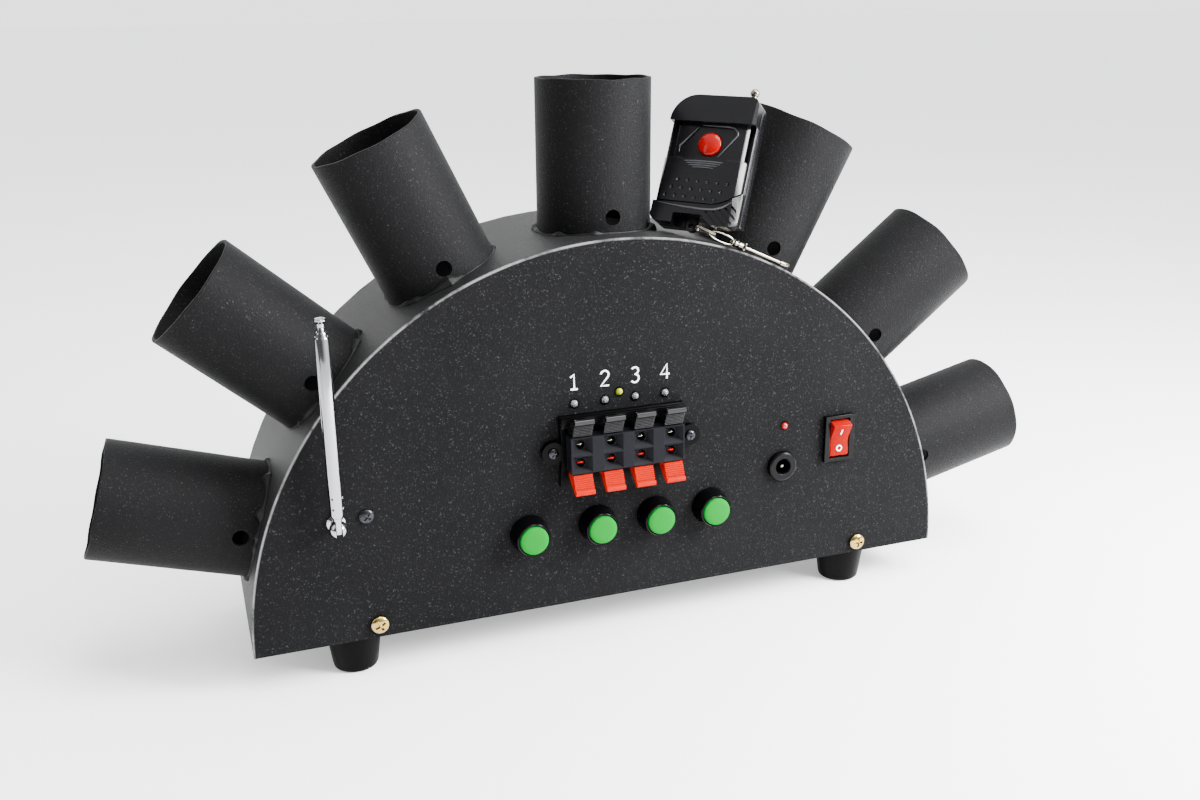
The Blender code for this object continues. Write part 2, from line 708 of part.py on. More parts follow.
def terminal_block():
    """Grey block with a square funnel and a wire bore for each way."""
    cx, cy = TERMINAL_CENTRE
    half_width = 1.5 * TERMINAL_PITCH + FUNNEL[0] / 2 + 2 * EDGE
    low = (cx - half_width, cy - BLOCK_HEIGHT / 2, TERMINAL_BASE_HEIGHT + GAP)
    high = (cx + half_width, cy + BLOCK_HEIGHT / 2, BLOCK_FRONT)
    mesh = Solids().block(low, high).mesh("terminal_block")
    made = piece("terminal_block", mesh, "grey_plastic", FRONT_FACE)
    funnels = Solids()
    bores = Solids()
    for x, y in terminal_ways():
        start = (x, y, BLOCK_FRONT - FUNNEL_DEPTH)
        funnels.funnel(FUNNEL, 2 * WIRE_BORE + EDGE, start, (x, y, BLOCK_FRONT + EDGE / 10))
        bores.rod(WIRE_BORE, (x, y, 0.0), (x, y, BLOCK_FRONT - FUNNEL_DEPTH / 2), 12)
    combine(made, cutter("terminal_funnels", funnels.mesh("terminal_funnels"), FRONT_FACE))
    combine(made, cutter("terminal_bores", bores.mesh("terminal_bores"), FRONT_FACE))
    return made


def lever_profile():
    """Side view of a lower lever about its pivot: X down the panel, Y outwards."""
    nose = arc_points(LEVER_NOSE, QUARTER + 0.6, 3 * QUARTER + 0.5, 6)
    start = Vector((-LEVER_NOSE + GAP / 2, BLOCK_FRONT - LEVER_PIVOT_OUT - 2 * EDGE))
    end = Vector((0.0045, 0.0076))
    across = (end - start).normalized()
    outward = Vector((-across.y, across.x))
    face = []
    for rib in range(LEVER_RIBS):
        for share, rise in ((0.15, 0.0), (0.35, RIB_HEIGHT), (0.65, RIB_HEIGHT), (0.85, 0.0)):
            along = start + (end - start) * ((rib + share) / LEVER_RIBS)
            face.append(tuple(along + outward * rise))
    lip = [(0.0047, LEVER_LIP), (0.0066, LEVER_LIP - 0.0002), (0.0067, LEVER_LIP - 0.0020)]
    return [tuple(start)] + face + lip + list(reversed(nose))


def levers():
    """Four black levers above the block and four red ones below, hinged near the panel."""
    mesh = plate("lever", lever_profile(), LEVER_WIDTH)
    drop = BLOCK_HEIGHT / 2 + LEVER_PIVOT_DROP
    for column in range(4):
        x = terminal_x(column)
        low = (x, TERMINAL_CENTRE[1] - drop, LEVER_PIVOT_OUT)
        high = (x, TERMINAL_CENTRE[1] + drop, LEVER_PIVOT_OUT)
        downward = Matrix(((0, 0, 1, 0), (-1, 0, 0, 0), (0, 1, 0, 0), (0, 0, 0, 1)))
        upward = Matrix(((0, 0, -1, 0), (1, 0, 0, 0), (0, 1, 0, 0), (0, 0, 0, 1)))
        red = mesh.copy()
        red.transform(downward)
        red.flip_normals()
        black = mesh.copy()
        black.transform(upward)
        black.flip_normals()
        piece(f"red_lever_{column + 1}", red, "red_plastic", FRONT_FACE, low)
        piece(f"black_lever_{column + 1}", black, "dark_plastic", FRONT_FACE, high)


# Lights

def led_dome():
    """Radius and height of a LED's round top, from the axis down to the panel's face."""
    turns = (0.0, 0.5, 1.0, QUARTER)
    return [(LED_RADIUS * math.sin(t), LED_RISE + LED_RADIUS * math.cos(t)) for t in turns]


def led_board():
    """Four clear channel LEDs and the yellow one, on a strip of board behind the panel."""
    front = -SHEET - GAP
    left = terminal_x(0) - BOARD_LIP
    right = terminal_x(3) + BOARD_LIP
    low = LED_HEIGHT - BOARD_LIP
    high = MIDDLE_LED[1] + BOARD_LIP
    strip = Solids().block((left, low, front - BOARD[2]), (right, high, front)).mesh("led_board")
    made = piece("led_board", strip, "board_green", FRONT_FACE)
    foot = front - BOARD[2] / 2
    led = turned("led", led_dome() + [(LED_RADIUS, foot), (0.0, foot)], LED_STEPS)
    row = Solids()
    for place in (*[(terminal_x(i), LED_HEIGHT) for i in range(4)], MIDDLE_LED):
        row.copy(led, (*place, 0.0))
    combine(made, cutter("channel_leds", row.mesh("channel_leds"), FRONT_FACE), "UNION")
    return made


def charge_led():
    """Red LED by the power inlet, with its flange behind the panel."""
    behind = -SHEET - GAP
    profile = led_dome() + [
        (LED_RADIUS, behind), (LED_FLANGE, behind), (LED_FLANGE, behind - 0.0010), (0.0, behind - 0.0010)]
    mesh = turned("charge_led", profile, LED_STEPS)
    return piece("charge_led", mesh, "red_lens", FRONT_FACE, (*SIGNAL_LED, 0.0))


# Push buttons

def back_nut(barrel, radius):
    """Hexagon nut behind the panel, bored under its barrel so that the two join."""
    bore = circle_points(barrel - EDGE, BUTTON_STEPS)
    nut = plate("back_nut", circle_points(radius, 6), NUT_HEIGHT, (bore,))
    nut.transform(Matrix.Translation((0.0, 0.0, -SHEET - GAP - NUT_HEIGHT / 2)))
    return nut


def button_collars():
    """Black collars, each with its barrel through the panel and its nut behind."""
    floor = COLLAR_HEIGHT + BUTTON_CAP_RISE - 0.0030 - BUTTON_TRAVEL - GAP
    profile = [
        (COLLAR_TOP - 0.0005, COLLAR_HEIGHT), (COLLAR_TOP, COLLAR_HEIGHT - 0.0006), (COLLAR_BASE, 0.0012),
        (COLLAR_BASE, GAP), (BUTTON_BARREL, GAP), (BUTTON_BARREL, -BUTTON_DEPTH),
        (BUTTON_STEM + GAP, -BUTTON_DEPTH), (BUTTON_STEM + GAP, floor),
        (BUTTON_CAP + GAP, floor), (BUTTON_CAP + GAP, COLLAR_HEIGHT)]
    collar = turned("collar", profile, BUTTON_STEPS, closed=True)
    nut = back_nut(BUTTON_BARREL, NUT_RADIUS)
    for number, x in enumerate(BUTTON_X, 1):
        place = (x, BUTTON_HEIGHT, 0.0)
        made = piece(f"button_collar_{number}", collar.copy(), "black_plastic", FRONT_FACE, place)
        combine(made, cutter(f"button_nut_{number}", nut, made), "UNION")


def button_caps():
    """Green caps on stems that slide in the collars."""
    top = COLLAR_HEIGHT + BUTTON_CAP_RISE
    profile = [
        (0.0, top + 0.0004), (BUTTON_CAP * 0.6, top + 0.0003), (BUTTON_CAP - 0.0004, top),
        (BUTTON_CAP, top - 0.0005), (BUTTON_CAP, top - 0.0030), (BUTTON_STEM, top - 0.0030),
        (BUTTON_STEM, -BUTTON_DEPTH / 2), (0.0, -BUTTON_DEPTH / 2)]
    mesh = turned("button_cap", profile, BUTTON_STEPS)
    for number, x in enumerate(BUTTON_X, 1):
        piece(f"button_cap_{number}", mesh.copy(), "green_plastic", FRONT_FACE, (x, BUTTON_HEIGHT, 0.0))


# Power inlet and switch

def power_inlet():
    """Round inlet with a flange, an open bore and a centre pin."""
    floor = JACK_FLANGE_HEIGHT - JACK_BORE_DEPTH
    profile = [
        (JACK_FLANGE - 0.0006, JACK_FLANGE_HEIGHT), (JACK_FLANGE, JACK_FLANGE_HEIGHT - 0.0006),
        (JACK_FLANGE, GAP), (JACK_BARREL, GAP), (JACK_BARREL, -JACK_DEPTH),
        (JACK_PIN + GAP, -JACK_DEPTH), (JACK_PIN + GAP, floor), (JACK_BORE, floor),
        (JACK_BORE, JACK_FLANGE_HEIGHT)]
    body = turned("dc_inlet", profile, BUTTON_STEPS, closed=True)
    inlet = piece("dc_inlet", body, "black_plastic", FRONT_FACE, (*JACK_CENTRE, 0.0))
    combine(inlet, cutter("inlet_nut", back_nut(JACK_BARREL, JACK_NUT), inlet), "UNION")
    tip = JACK_FLANGE_HEIGHT - 0.0012
    pin_profile = [
        (0.0, tip), (JACK_PIN * 0.7, tip - 0.0002), (JACK_PIN, tip - 0.0007),
        (JACK_PIN, -JACK_DEPTH - 0.0030), (0.0, -JACK_DEPTH - 0.0030)]
    pin = turned("dc_pin", pin_profile, SCREW_STEPS)
    piece("dc_pin", pin, "nickel", FRONT_FACE, (*JACK_CENTRE, 0.0))


def switch_frame():
    """Switch body with a flange in front and a pocket for the rocker."""
    cx, cy = SWITCH_CENTRE
    flange = plate(
        "switch_frame", rectangle_points(*SWITCH_FLANGE), SWITCH_FLANGE_HEIGHT - GAP,
        (rectangle_points(*SWITCH_POCKET),))
    middle = (SWITCH_FLANGE_HEIGHT + GAP) / 2
    made = piece("switch_frame", flange, "black_plastic", FRONT_FACE, (cx, cy, middle))
    half_x, half_y = SWITCH_BODY[0] / 2, SWITCH_BODY[1] / 2
    body = Solids().block((-half_x, -half_y, -SWITCH_DEPTH), (half_x, half_y, SWITCH_FLANGE_HEIGHT / 2))
    combine(made, cutter("switch_body", body.mesh("switch_body"), FRONT_FACE, (cx, cy, 0.0)), "UNION")
    half_x, half_y = SWITCH_POCKET[0] / 2, SWITCH_POCKET[1] / 2
    pocket = Solids().block(
        (-half_x, -half_y, -SWITCH_POCKET_DEPTH), (half_x, half_y, 2 * SWITCH_FLANGE_HEIGHT))
    combine(made, cutter("switch_pocket", pocket.mesh("switch_pocket"), FRONT_FACE, (cx, cy, 0.0)))
    return made


def power_rocker():
    """Red rocker about its pivot, upper end out."""
    side = [(ROCKER_HALF, ROCKER_END_RISE), (ROCKER_HALF + 0.0005, 0.0020), (ROCKER_HALF + 0.0006, -0.0010)]
    front = [(ROCKER_HALF - 0.0008, ROCKER_END_RISE + 0.0003), (0.0012, ROCKER_MIDDLE_RISE)]
    right = list(reversed(front)) + side + [(0.0030, -0.0036)]
    outline = right + [(-x, y) for x, y in reversed(right)]
    mesh = plate("power_rocker", outline, ROCKER_WIDTH)
    mesh.transform(Matrix(((0, 0, 1, 0), (1, 0, 0, 0), (0, 1, 0, 0), (0, 0, 0, 1))))
    place = (*SWITCH_CENTRE, -ROCKER_PIVOT_DEPTH)
    return piece("power_rocker", mesh, "red_lens", FRONT_FACE, place, (ROCKER_TILT, 0.0, 0.0))


# Antenna

def antenna_fork():
    """Ball fork on a stud that turns in the panel, with the pin across its slot."""
    behind = -SHEET - GAP
    pin_out = ANTENNA_PIN_OUT
    ball = []
    lowest = math.acos(ANTENNA_NECK / ANTENNA_BALL)
    for i in range(9):
        turn = QUARTER - (QUARTER + lowest) * i / 8
        ball.append((ANTENNA_BALL * math.cos(turn), pin_out + ANTENNA_BALL * math.sin(turn)))
    ball[0] = (0.0, ball[0][1])
    profile = ball + [
        (ANTENNA_NECK, 0.0016), (ANTENNA_FOOT, 0.0013), (ANTENNA_FOOT, GAP), (ANTENNA_NECK, GAP),
        (ANTENNA_NECK, behind), (ANTENNA_FOOT, behind), (ANTENNA_FOOT, behind - 0.0020),
        (0.0, behind - 0.0020)]
    made = piece(
        "antenna_fork", turned("antenna_fork", profile, ANTENNA_STEPS), "chrome",
        FRONT_FACE, (*ANTENNA_CENTRE, 0.0))
    half = ANTENNA_SLOT / 2
    slot_floor = pin_out - TONGUE_RADIUS - 2 * GAP
    slot = Solids().block(
        (-half, -2 * ANTENNA_BALL, slot_floor), (half, 2 * ANTENNA_BALL, pin_out + 2 * ANTENNA_BALL))
    combine(made, cutter("fork_slot", slot.mesh("fork_slot"), made))
    pin = Solids().rod(
        ANTENNA_PIN, (-ANTENNA_BALL + 0.0009, 0.0, pin_out), (ANTENNA_BALL - 0.0009, 0.0, pin_out))
    combine(made, cutter("fork_pin", pin.mesh("fork_pin"), made), "UNION")
    return made


def section_bore(index):
    """Bore of one antenna section, round the next one in."""
    return SECTION_RADII[index + 1] + GAP


def antenna_mast():
    """Outer antenna tube on a flat tongue that folds about the pin."""
    radius = SECTION_RADII[0]
    bore = section_bore(0)
    outline = [
        (0.0, SECTION_FLOOR), (bore, SECTION_FLOOR), (bore, MAST_TOP), (radius, MAST_TOP),
        (radius, MAST_START + 0.0014), (TONGUE_RADIUS * 0.8, MAST_START), (0.0, MAST_START)]
    place = (*ANTENNA_CENTRE, ANTENNA_PIN_OUT)
    made = piece(
        "antenna_mast", turned("antenna_mast", outline, ANTENNA_STEPS), "chrome",
        FRONT_FACE, place, (-QUARTER, 0.0, 0.0))
    width = TONGUE_RADIUS
    top = MAST_START + 0.0012
    tongue_outline = [(width, 0.0), (width, top), (-width, top), (-width, 0.0)]
    tongue_outline += arc_points(width, math.pi, 2 * math.pi, 8)[1:-1]
    eye = circle_points(ANTENNA_PIN + GAP, SCREW_STEPS)
    tongue = plate("antenna_tongue", tongue_outline, TONGUE_WIDTH, (eye,))
    tongue.transform(Matrix(((0, 0, 1, 0), (1, 0, 0, 0), (0, 1, 0, 0), (0, 0, 0, 1))))
    combine(made, cutter("antenna_tongue", tongue, made), "UNION")
    return made


def antenna_sections():
    """The inner tubes and the capped tip that slide out of the mast."""
    place = (*ANTENNA_CENTRE, ANTENNA_PIN_OUT)
    names = ("antenna_section_1", "antenna_section_2")
    for index, name in enumerate(names, 1):
        top = MAST_TOP + index * SECTION_STEP
        bottom = SECTION_FLOOR + index * 4 * GAP
        profile = [
            (SECTION_RADII[index], top), (SECTION_RADII[index], bottom),
            (section_bore(index), bottom), (section_bore(index), top)]
        mesh = turned(name, profile, ANTENNA_STEPS, closed=True)
        piece(name, mesh, "chrome", FRONT_FACE, place, (-QUARTER, 0.0, 0.0))
    seat = MAST_TOP + 2 * SECTION_STEP + GAP
    top = seat + TIP_CAP_HEIGHT
    rod = SECTION_RADII[3]
    profile = [
        (0.0, top), (TIP_CAP * 0.8, top), (TIP_CAP, top - 0.0005), (TIP_CAP, top - 0.0013),
        (TIP_CAP * 0.65, top - 0.0020), (TIP_CAP * 0.65, seat), (rod, seat),
        (rod, SECTION_FLOOR + 12 * GAP), (0.0, SECTION_FLOOR + 12 * GAP)]
    tip = turned("antenna_tip", profile, ANTENNA_STEPS)
    piece("antenna_tip", tip, "chrome", FRONT_FACE, place, (-QUARTER, 0.0, 0.0))


# Inside the case

def battery_box():
    """Low and high corners of the battery."""
    width, depth, height = BATTERY
    floor = FOOT_HEIGHT + SHEET + GAP
    front = FRONT + BATTERY_SETBACK
    low = (BATTERY_X - width / 2, front, floor)
    high = (BATTERY_X + width / 2, front + depth, floor + height)
    return low, high


def battery_and_strap():
    """Battery on the bottom plate under a bent strap."""
    low, high = battery_box()
    body = Solids().block(low, high).mesh("battery")
    soften(piece("battery", body, "battery_wrap"), 0.002, segments=2)
    inner = BATTERY[0] / 2 + GAP
    outer = inner + STRAP
    end = outer + STRAP_FOOT
    top = BATTERY[2] + GAP
    right = [(end, 0.0), (end, STRAP), (outer, STRAP), (outer, top + STRAP)]
    under = [(-inner, 0.0), (-inner, top), (inner, top), (inner, 0.0)]
    outline = right + [(-x, y) for x, y in reversed(right)] + under
    mesh = plate("battery_strap", outline, STRAP_WIDTH)
    place = (BATTERY_X, (low[1] + high[1]) / 2, low[2])
    piece("battery_strap", mesh, "zinc", None, place, (QUARTER, 0.0, 0.0))


def board_corners():
    """Middles of the board's four screws, in the back panel's plane."""
    half_x = BOARD[0] / 2 - BOARD_MARGIN
    half_y = BOARD[1] / 2 - BOARD_MARGIN
    return [(sx * half_x, BOARD_HEIGHT + sy * half_y) for sy in (-1, 1) for sx in (-1, 1)]


def control_board():
    """Circuit board on the back panel's posts, with its four relays."""
    seat = -SHEET - BOARD_STANDOFF
    mesh = plate("control_board", rectangle_points(BOARD[0], BOARD[1]), BOARD[2])
    middle = seat - GAP - BOARD[2] / 2
    made = piece("control_board", mesh, "board_green", BACK_FACE, (0.0, BOARD_HEIGHT, middle))
    relays = Solids()
    width, height, depth = RELAY
    for column in range(4):
        x = (column - 1.5) * RELAY_PITCH
        relays.block((x - width / 2, -height / 2, -depth), (x + width / 2, height / 2, 0.0))
    combine(made, cutter("relays", relays.mesh("relays"), made), "UNION")
    return made


# Remote transmitter, drawn in its own frame: X across, Y along, Z out of its face

def remote_frame():
    """Empty at the middle of the remote's lower back edge, turned, leant back and tilted."""
    angle = math.radians(BARREL_ANGLES[4]) + REMOTE_ALONG / ARC_RADIUS
    radius = ARC_RADIUS + REMOTE_RISE
    rest = (BARREL_RADIUS + GAP) / (math.cos(REMOTE_LEAN) * math.cos(REMOTE_YAW))
    y = FRONT + BARREL_SETBACK + REMOTE_NEST - rest
    place = (radius * math.cos(angle), y, FOOT_HEIGHT + radius * math.sin(angle))
    upright = Matrix.Rotation(REMOTE_YAW, 4, "Z") @ Matrix.Rotation(QUARTER - REMOTE_LEAN, 4, "X")
    return holder("remote_frame", place, (upright @ Matrix.Rotation(REMOTE_TILT, 4, "Z")).to_euler())


REMOTE = remote_frame()


def remote_width(y):
    """Width of the tapered case at a height along it."""
    return REMOTE_BOTTOM + (REMOTE_TOP - REMOTE_BOTTOM) * y / REMOTE_LENGTH


def remote_corners(low, high):
    """Corners of the part of the case between two heights, with the case's own round corners."""
    bottom, top = remote_width(low) / 2, remote_width(high) / 2
    foot = REMOTE_CORNER if low == 0.0 else EDGE
    right, left = (REMOTE_CORNER, REMOTE_BIG_CORNER) if high == REMOTE_LENGTH else (EDGE, EDGE)
    return [(-bottom, low, foot), (bottom, low, foot), (top, high, right), (-top, high, left)]


def remote_slab(name, low, high, floor, top):
    """A slab of the remote's outline between two heights and two levels."""
    mesh = plate(name, rounded_points(remote_corners(low, high)), top - floor)
    mesh.transform(Matrix.Translation((0.0, 0.0, (floor + top) / 2)))
    return mesh


def notch(name):
    """Opening in the lower edge that the key ring hangs in."""
    outline = [
        (NOTCH_LEFT, NOTCH_FOOT), (NOTCH_RIGHT[1], NOTCH_FOOT), (NOTCH_RIGHT[0], NOTCH_TOP),
        (NOTCH_LEFT, NOTCH_TOP)]
    mesh = plate(name, outline, 2 * REMOTE_THICK)
    mesh.transform(Matrix.Translation((0.0, 0.0, REMOTE_THICK / 2)))
    return mesh


def remote_back():
    """Back half of the remote's case, with the antenna's bore and the lug for the key ring."""
    mesh = remote_slab("remote_back", 0.0, REMOTE_LENGTH, 0.0, REMOTE_SPLIT)
    made = piece("remote_back", mesh, "black_plastic", REMOTE)
    combine(made, cutter("back_notch", notch("back_notch"), REMOTE))
    relief = Solids().block(
        (NOTCH_LEFT, NOTCH_FOOT, -EDGE), (REMOTE_BOTTOM, BACK_RELIEF, REMOTE_SPLIT + EDGE))
    combine(made, cutter("chain_relief", relief.mesh("chain_relief"), REMOTE))
    root = NOTCH_TOP + EDGE
    outline = rectangle_points(LUG_WIDTH, root - LUG_END, (LUG_X, (root + LUG_END) / 2))
    eye = circle_points(LUG_HOLE, SCREW_STEPS, (LUG_X, LUG_HEIGHT))
    lug = plate("key_lug", outline, LUG_HIGH - LUG_LOW, (eye,))
    lug.transform(Matrix.Translation((0.0, 0.0, (LUG_LOW + LUG_HIGH) / 2)))
    combine(made, cutter("key_lug", lug, REMOTE), "UNION")
    top = REMOTE_LENGTH + WHIP_COLLAR_RISE
    collar = Solids().rod(
        WHIP_COLLAR, (WHIP_X, REMOTE_LENGTH - REMOTE_CORNER, WHIP_Z), (WHIP_X, top, WHIP_Z), ANTENNA_STEPS)
    combine(made, cutter("whip_collar", collar.mesh("whip_collar"), REMOTE), "UNION")
    bore = Solids().rod(
        WHIP + GAP, (WHIP_X, WHIP_START - GAP, WHIP_Z), (WHIP_X, 2 * REMOTE_LENGTH, WHIP_Z), SCREW_STEPS)
    combine(made, cutter("whip_bore", bore.mesh("whip_bore"), REMOTE))
    return made


def remote_front():
    """Front half of the case: a deck for the cover to slide on, between a head and a tail."""
    floor = REMOTE_SPLIT + GAP
    deck = Solids().block(
        (-DECK_WIDTH / 2, TAIL_END / 2, floor), (DECK_WIDTH / 2, HEAD_START + TAIL_END / 2, REMOTE_DECK))
    made = piece("remote_front", deck.mesh("remote_front"), "black_plastic", REMOTE)
    ends = (
        ("remote_head", HEAD_START, REMOTE_LENGTH, REMOTE_THICK), ("remote_tail", 0.0, TAIL_END, TAIL_HEIGHT))
    for name, low, high, top in ends:
        end = cutter(name, remote_slab(name, low, high, floor, top), REMOTE)
        soften(end, REMOTE_ROUND, 60.0)
        combine(made, end, "UNION")
    hole = Solids().rod(
        KEY_RADIUS + GAP, (*KEY_PLACE, REMOTE_SPLIT), (*KEY_PLACE, REMOTE_THICK), BUTTON_STEPS)
    combine(made, cutter("key_hole", hole.mesh("key_hole"), REMOTE))
    combine(made, cutter("front_notch", notch("front_notch"), REMOTE))
    return made


def slide_cover():
    """Cover that slides up over the button, with rows of dimples for the thumb."""
    outer = remote_width(0.0) / 2 - COVER_INSET
    inner = DECK_WIDTH / 2 + GAP
    top = REMOTE_THICK
    right = [(inner, COVER_FOOT), (outer, COVER_FOOT)]
    right += [(outer, top - COVER_CHAMFER), (outer - COVER_CHAMFER, top)]
    left = [(-x, z) for x, z in reversed(right)]
    roof = [(-inner, top - COVER_WALL), (inner, top - COVER_WALL)]
    mesh = plate("slide_cover", right + left + roof, COVER_LENGTH)
    mesh.transform(Matrix.Rotation(QUARTER, 4, "X"))
    start = TAIL_END + GAP
    made = piece("slide_cover", mesh, "black_plastic", REMOTE, (0.0, start + COVER_LENGTH / 2, 0.0))
    dimples = Solids()
    for row in range(3):
        for column in range(6):
            x = DIMPLE_START[0] + (column - 2.5) * DIMPLE_PITCH - DIMPLE_ROW_SHIFT * row
            y = DIMPLE_START[1] + (2 - row) * DIMPLE_ROW_PITCH - DIMPLE_FALL * column
            dimples.rod(DIMPLE / 3, (x, y, top - DIMPLE), (x, y, top + EDGE), 6, DIMPLE)
    combine(made, cutter("thumb_dimples", dimples.mesh("thumb_dimples"), made))
    return made


def remote_key():
    """Red domed button in its hole in the deck."""
    foot = REMOTE_SPLIT + GAP + KEY_TRAVEL
    rim = REMOTE_DECK + GAP
    rise = KEY_TOP - rim
    crown = [(KEY_RADIUS * math.sin(t), rim + rise * math.cos(t)) for t in (0.0, 0.4, 0.8, 1.2, QUARTER)]
    mesh = turned("remote_key", crown + [(KEY_RADIUS, foot), (0.0, foot)], BUTTON_STEPS)
    return piece("remote_key", mesh, "red_plastic", REMOTE, (*KEY_PLACE, 0.0))


def remote_whip():
    """Slim antenna with a ball tip that pulls out of the remote's back half."""
    seat = REMOTE_LENGTH + WHIP_COLLAR_RISE + GAP
    middle = seat + WHIP_NECK + WHIP_BALL
    ball = [(WHIP_BALL * math.sin(t), middle + WHIP_BALL * math.cos(t)) for t in (0.0, 0.5, 1.0, 1.57, 2.1)]
    profile = ball + [(WHIP, seat + EDGE), (WHIP, WHIP_START), (0.0, WHIP_START)]
    mesh = turned("remote_whip", profile, SCREW_STEPS)
    return piece("remote_whip", mesh, "chrome", REMOTE, (WHIP_X, 0.0, WHIP_Z), (-QUARTER, 0.0, 0.0))


# Key ring and snap hook, each in a frame with X along the chain and Z to the remote's front

def chain_frames():
    """Empties at the lug's hole and at the ring's far end."""
    hole = (LUG_X, LUG_HEIGHT, (LUG_LOW + LUG_HIGH) / 2)
    at_lug = holder("ring_frame", hole, (0.0, 0.0, -RING_DROP), REMOTE)
    at_hook = holder("hook_frame", (2 * RING_RADIUS, 0.0, 0.0), HOOK_TURN, at_lug)
    return at_lug, at_hook


def key_ring():
    """Wire ring through the lug's hole, lying along the rim."""
    turns = [2 * math.pi * i / 20 for i in range(20)]
    points = [(RING_RADIUS - RING_RADIUS * math.cos(t), 0.0, RING_RADIUS * math.sin(t)) for t in turns]
    mesh = wire("key_ring", points, RING_WIRE, closed=True, sides=1)
    return piece("key_ring", mesh, "chrome", AT_LUG)


def neck_start():
    """Where the hook's neck leaves its eye, along the chain."""
    return 2 * EYE[0] - EYE_SLACK


def snap_hook():
    """Hook with an oval eye round the ring's far end, a neck and an open loop."""
    turns = [2 * math.pi * i / 20 for i in range(20)]
    middle = EYE[0] - EYE_SLACK
    points = [(middle + EYE[0] * math.cos(t), EYE[1] * math.sin(t), 0.0) for t in turns]
    made = piece("snap_hook", wire("snap_hook", points, EYE_WIRE, closed=True, sides=1), "chrome", AT_HOOK)
    start = neck_start()
    shoulder = start + NECK_LENGTH
    neck = Solids().rod(NECK_RADIUS, (start, 0.0, 0.0), (shoulder, 0.0, 0.0))
    combine(made, cutter("hook_neck", neck.mesh("hook_neck"), AT_HOOK), "UNION")
    bend = shoulder + LOOP_LENGTH - LOOP_HALF
    loop = [(shoulder - NECK_LENGTH / 2, 0.0, 0.0), (shoulder + LOOP_WIRE, 0.0, -LOOP_HALF / 4)]
    loop.append((shoulder + 2 * LOOP_WIRE, 0.0, -0.8 * LOOP_HALF))
    loop.append((shoulder + 3 * LOOP_WIRE, 0.0, -LOOP_HALF))
    for i in range(9):
        t = -QUARTER + math.pi * i / 8
        loop.append((bend + LOOP_HALF * math.cos(t), 0.0, LOOP_HALF * math.sin(t)))
    loop.append((bend - LOOP_NOSE, 0.0, LOOP_HALF))
    combine(made, cutter("hook_loop", wire("hook_loop", loop, LOOP_WIRE), AT_HOOK), "UNION")
    return made


def hook_gate():
    """Sprung gate from the neck to the loop's nose, about its end by the neck."""
    shoulder = neck_start() + NECK_LENGTH
    pivot = shoulder + GATE_WIRE + GAP
    height = LOOP_HALF - GATE_DROP
    reach = shoulder + LOOP_LENGTH - LOOP_HALF - LOOP_NOSE - GAP - pivot
    points = [(-GATE_WIRE / 2, 0.0, 0.0), (reach, 0.0, GATE_DROP)]
    mesh = wire("hook_gate", points, GATE_WIRE, sides=1)
    return piece("hook_gate", mesh, "chrome", AT_HOOK, (pivot, 0.0, height))


AT_LUG, AT_HOOK = chain_frames()

front_panel()
back_panel()
rim_band()
bottom_plate()
barrels()
feet()
case_screws()
terminal_base()
terminal_block()
levers()
led_board()
charge_led()
button_collars()
button_caps()
power_inlet()
switch_frame()
power_rocker()
antenna_fork()
antenna_mast()
antenna_sections()
battery_and_strap()
control_board()
remote_back()
remote_front()
slide_cover()
remote_key()
remote_whip()
key_ring()
snap_hook()
hook_gate()
bpy.context.view_layer.update()
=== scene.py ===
"""Looks of the seven-barrel cold spark machine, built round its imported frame.

Lengths are in metres. X runs to the right along the front panel, Y to the back
and Z up, with the origin under the middle of the machine, as in the frame.
"""

import json
import math
import random

import bmesh
import bpy
from mathutils import Euler, Matrix, Vector


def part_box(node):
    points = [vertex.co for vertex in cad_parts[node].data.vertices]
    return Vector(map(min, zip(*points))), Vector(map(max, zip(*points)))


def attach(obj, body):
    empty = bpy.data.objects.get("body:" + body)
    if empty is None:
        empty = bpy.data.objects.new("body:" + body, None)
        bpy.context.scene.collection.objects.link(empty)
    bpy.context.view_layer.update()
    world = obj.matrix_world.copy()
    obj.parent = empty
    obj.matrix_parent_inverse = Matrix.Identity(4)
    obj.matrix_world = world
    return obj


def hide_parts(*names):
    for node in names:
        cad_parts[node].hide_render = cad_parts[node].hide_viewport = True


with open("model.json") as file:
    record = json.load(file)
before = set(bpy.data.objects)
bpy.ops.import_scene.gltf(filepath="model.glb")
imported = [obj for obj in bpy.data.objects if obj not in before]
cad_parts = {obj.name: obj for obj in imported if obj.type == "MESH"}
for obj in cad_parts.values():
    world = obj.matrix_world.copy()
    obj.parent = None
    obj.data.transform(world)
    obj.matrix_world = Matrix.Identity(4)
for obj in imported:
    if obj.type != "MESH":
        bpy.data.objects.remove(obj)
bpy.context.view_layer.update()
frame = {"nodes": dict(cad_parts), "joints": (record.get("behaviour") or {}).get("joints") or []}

MM = 0.001
QUARTER = math.pi / 2

# Camera of the photograph, in the frame
CAMERA_PLACE = (-0.1697, -0.48965, 0.2647)
CAMERA_RIGHT = (0.9409, -0.3384, -0.0143)
CAMERA_UP = (0.1173, 0.2858, 0.9511)
CAMERA_FORWARD = (0.3177, 0.8966, -0.3086)
CAMERA_LENS = 35.87
SENSOR_WIDTH = 36.0

# Case
PANEL_LOW, PANEL_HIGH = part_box("front_panel")
FRONT = PANEL_LOW.y
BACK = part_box("back_panel")[1].y
FLOOR_OF_CASE = PANEL_LOW.z
ARC_RADIUS = PANEL_HIGH.z - PANEL_LOW.z
SHEET = PANEL_HIGH.y - PANEL_LOW.y
GAP = 0.3 * MM
ROUND_STEPS = 64
SQUARE_ON = 0.999999

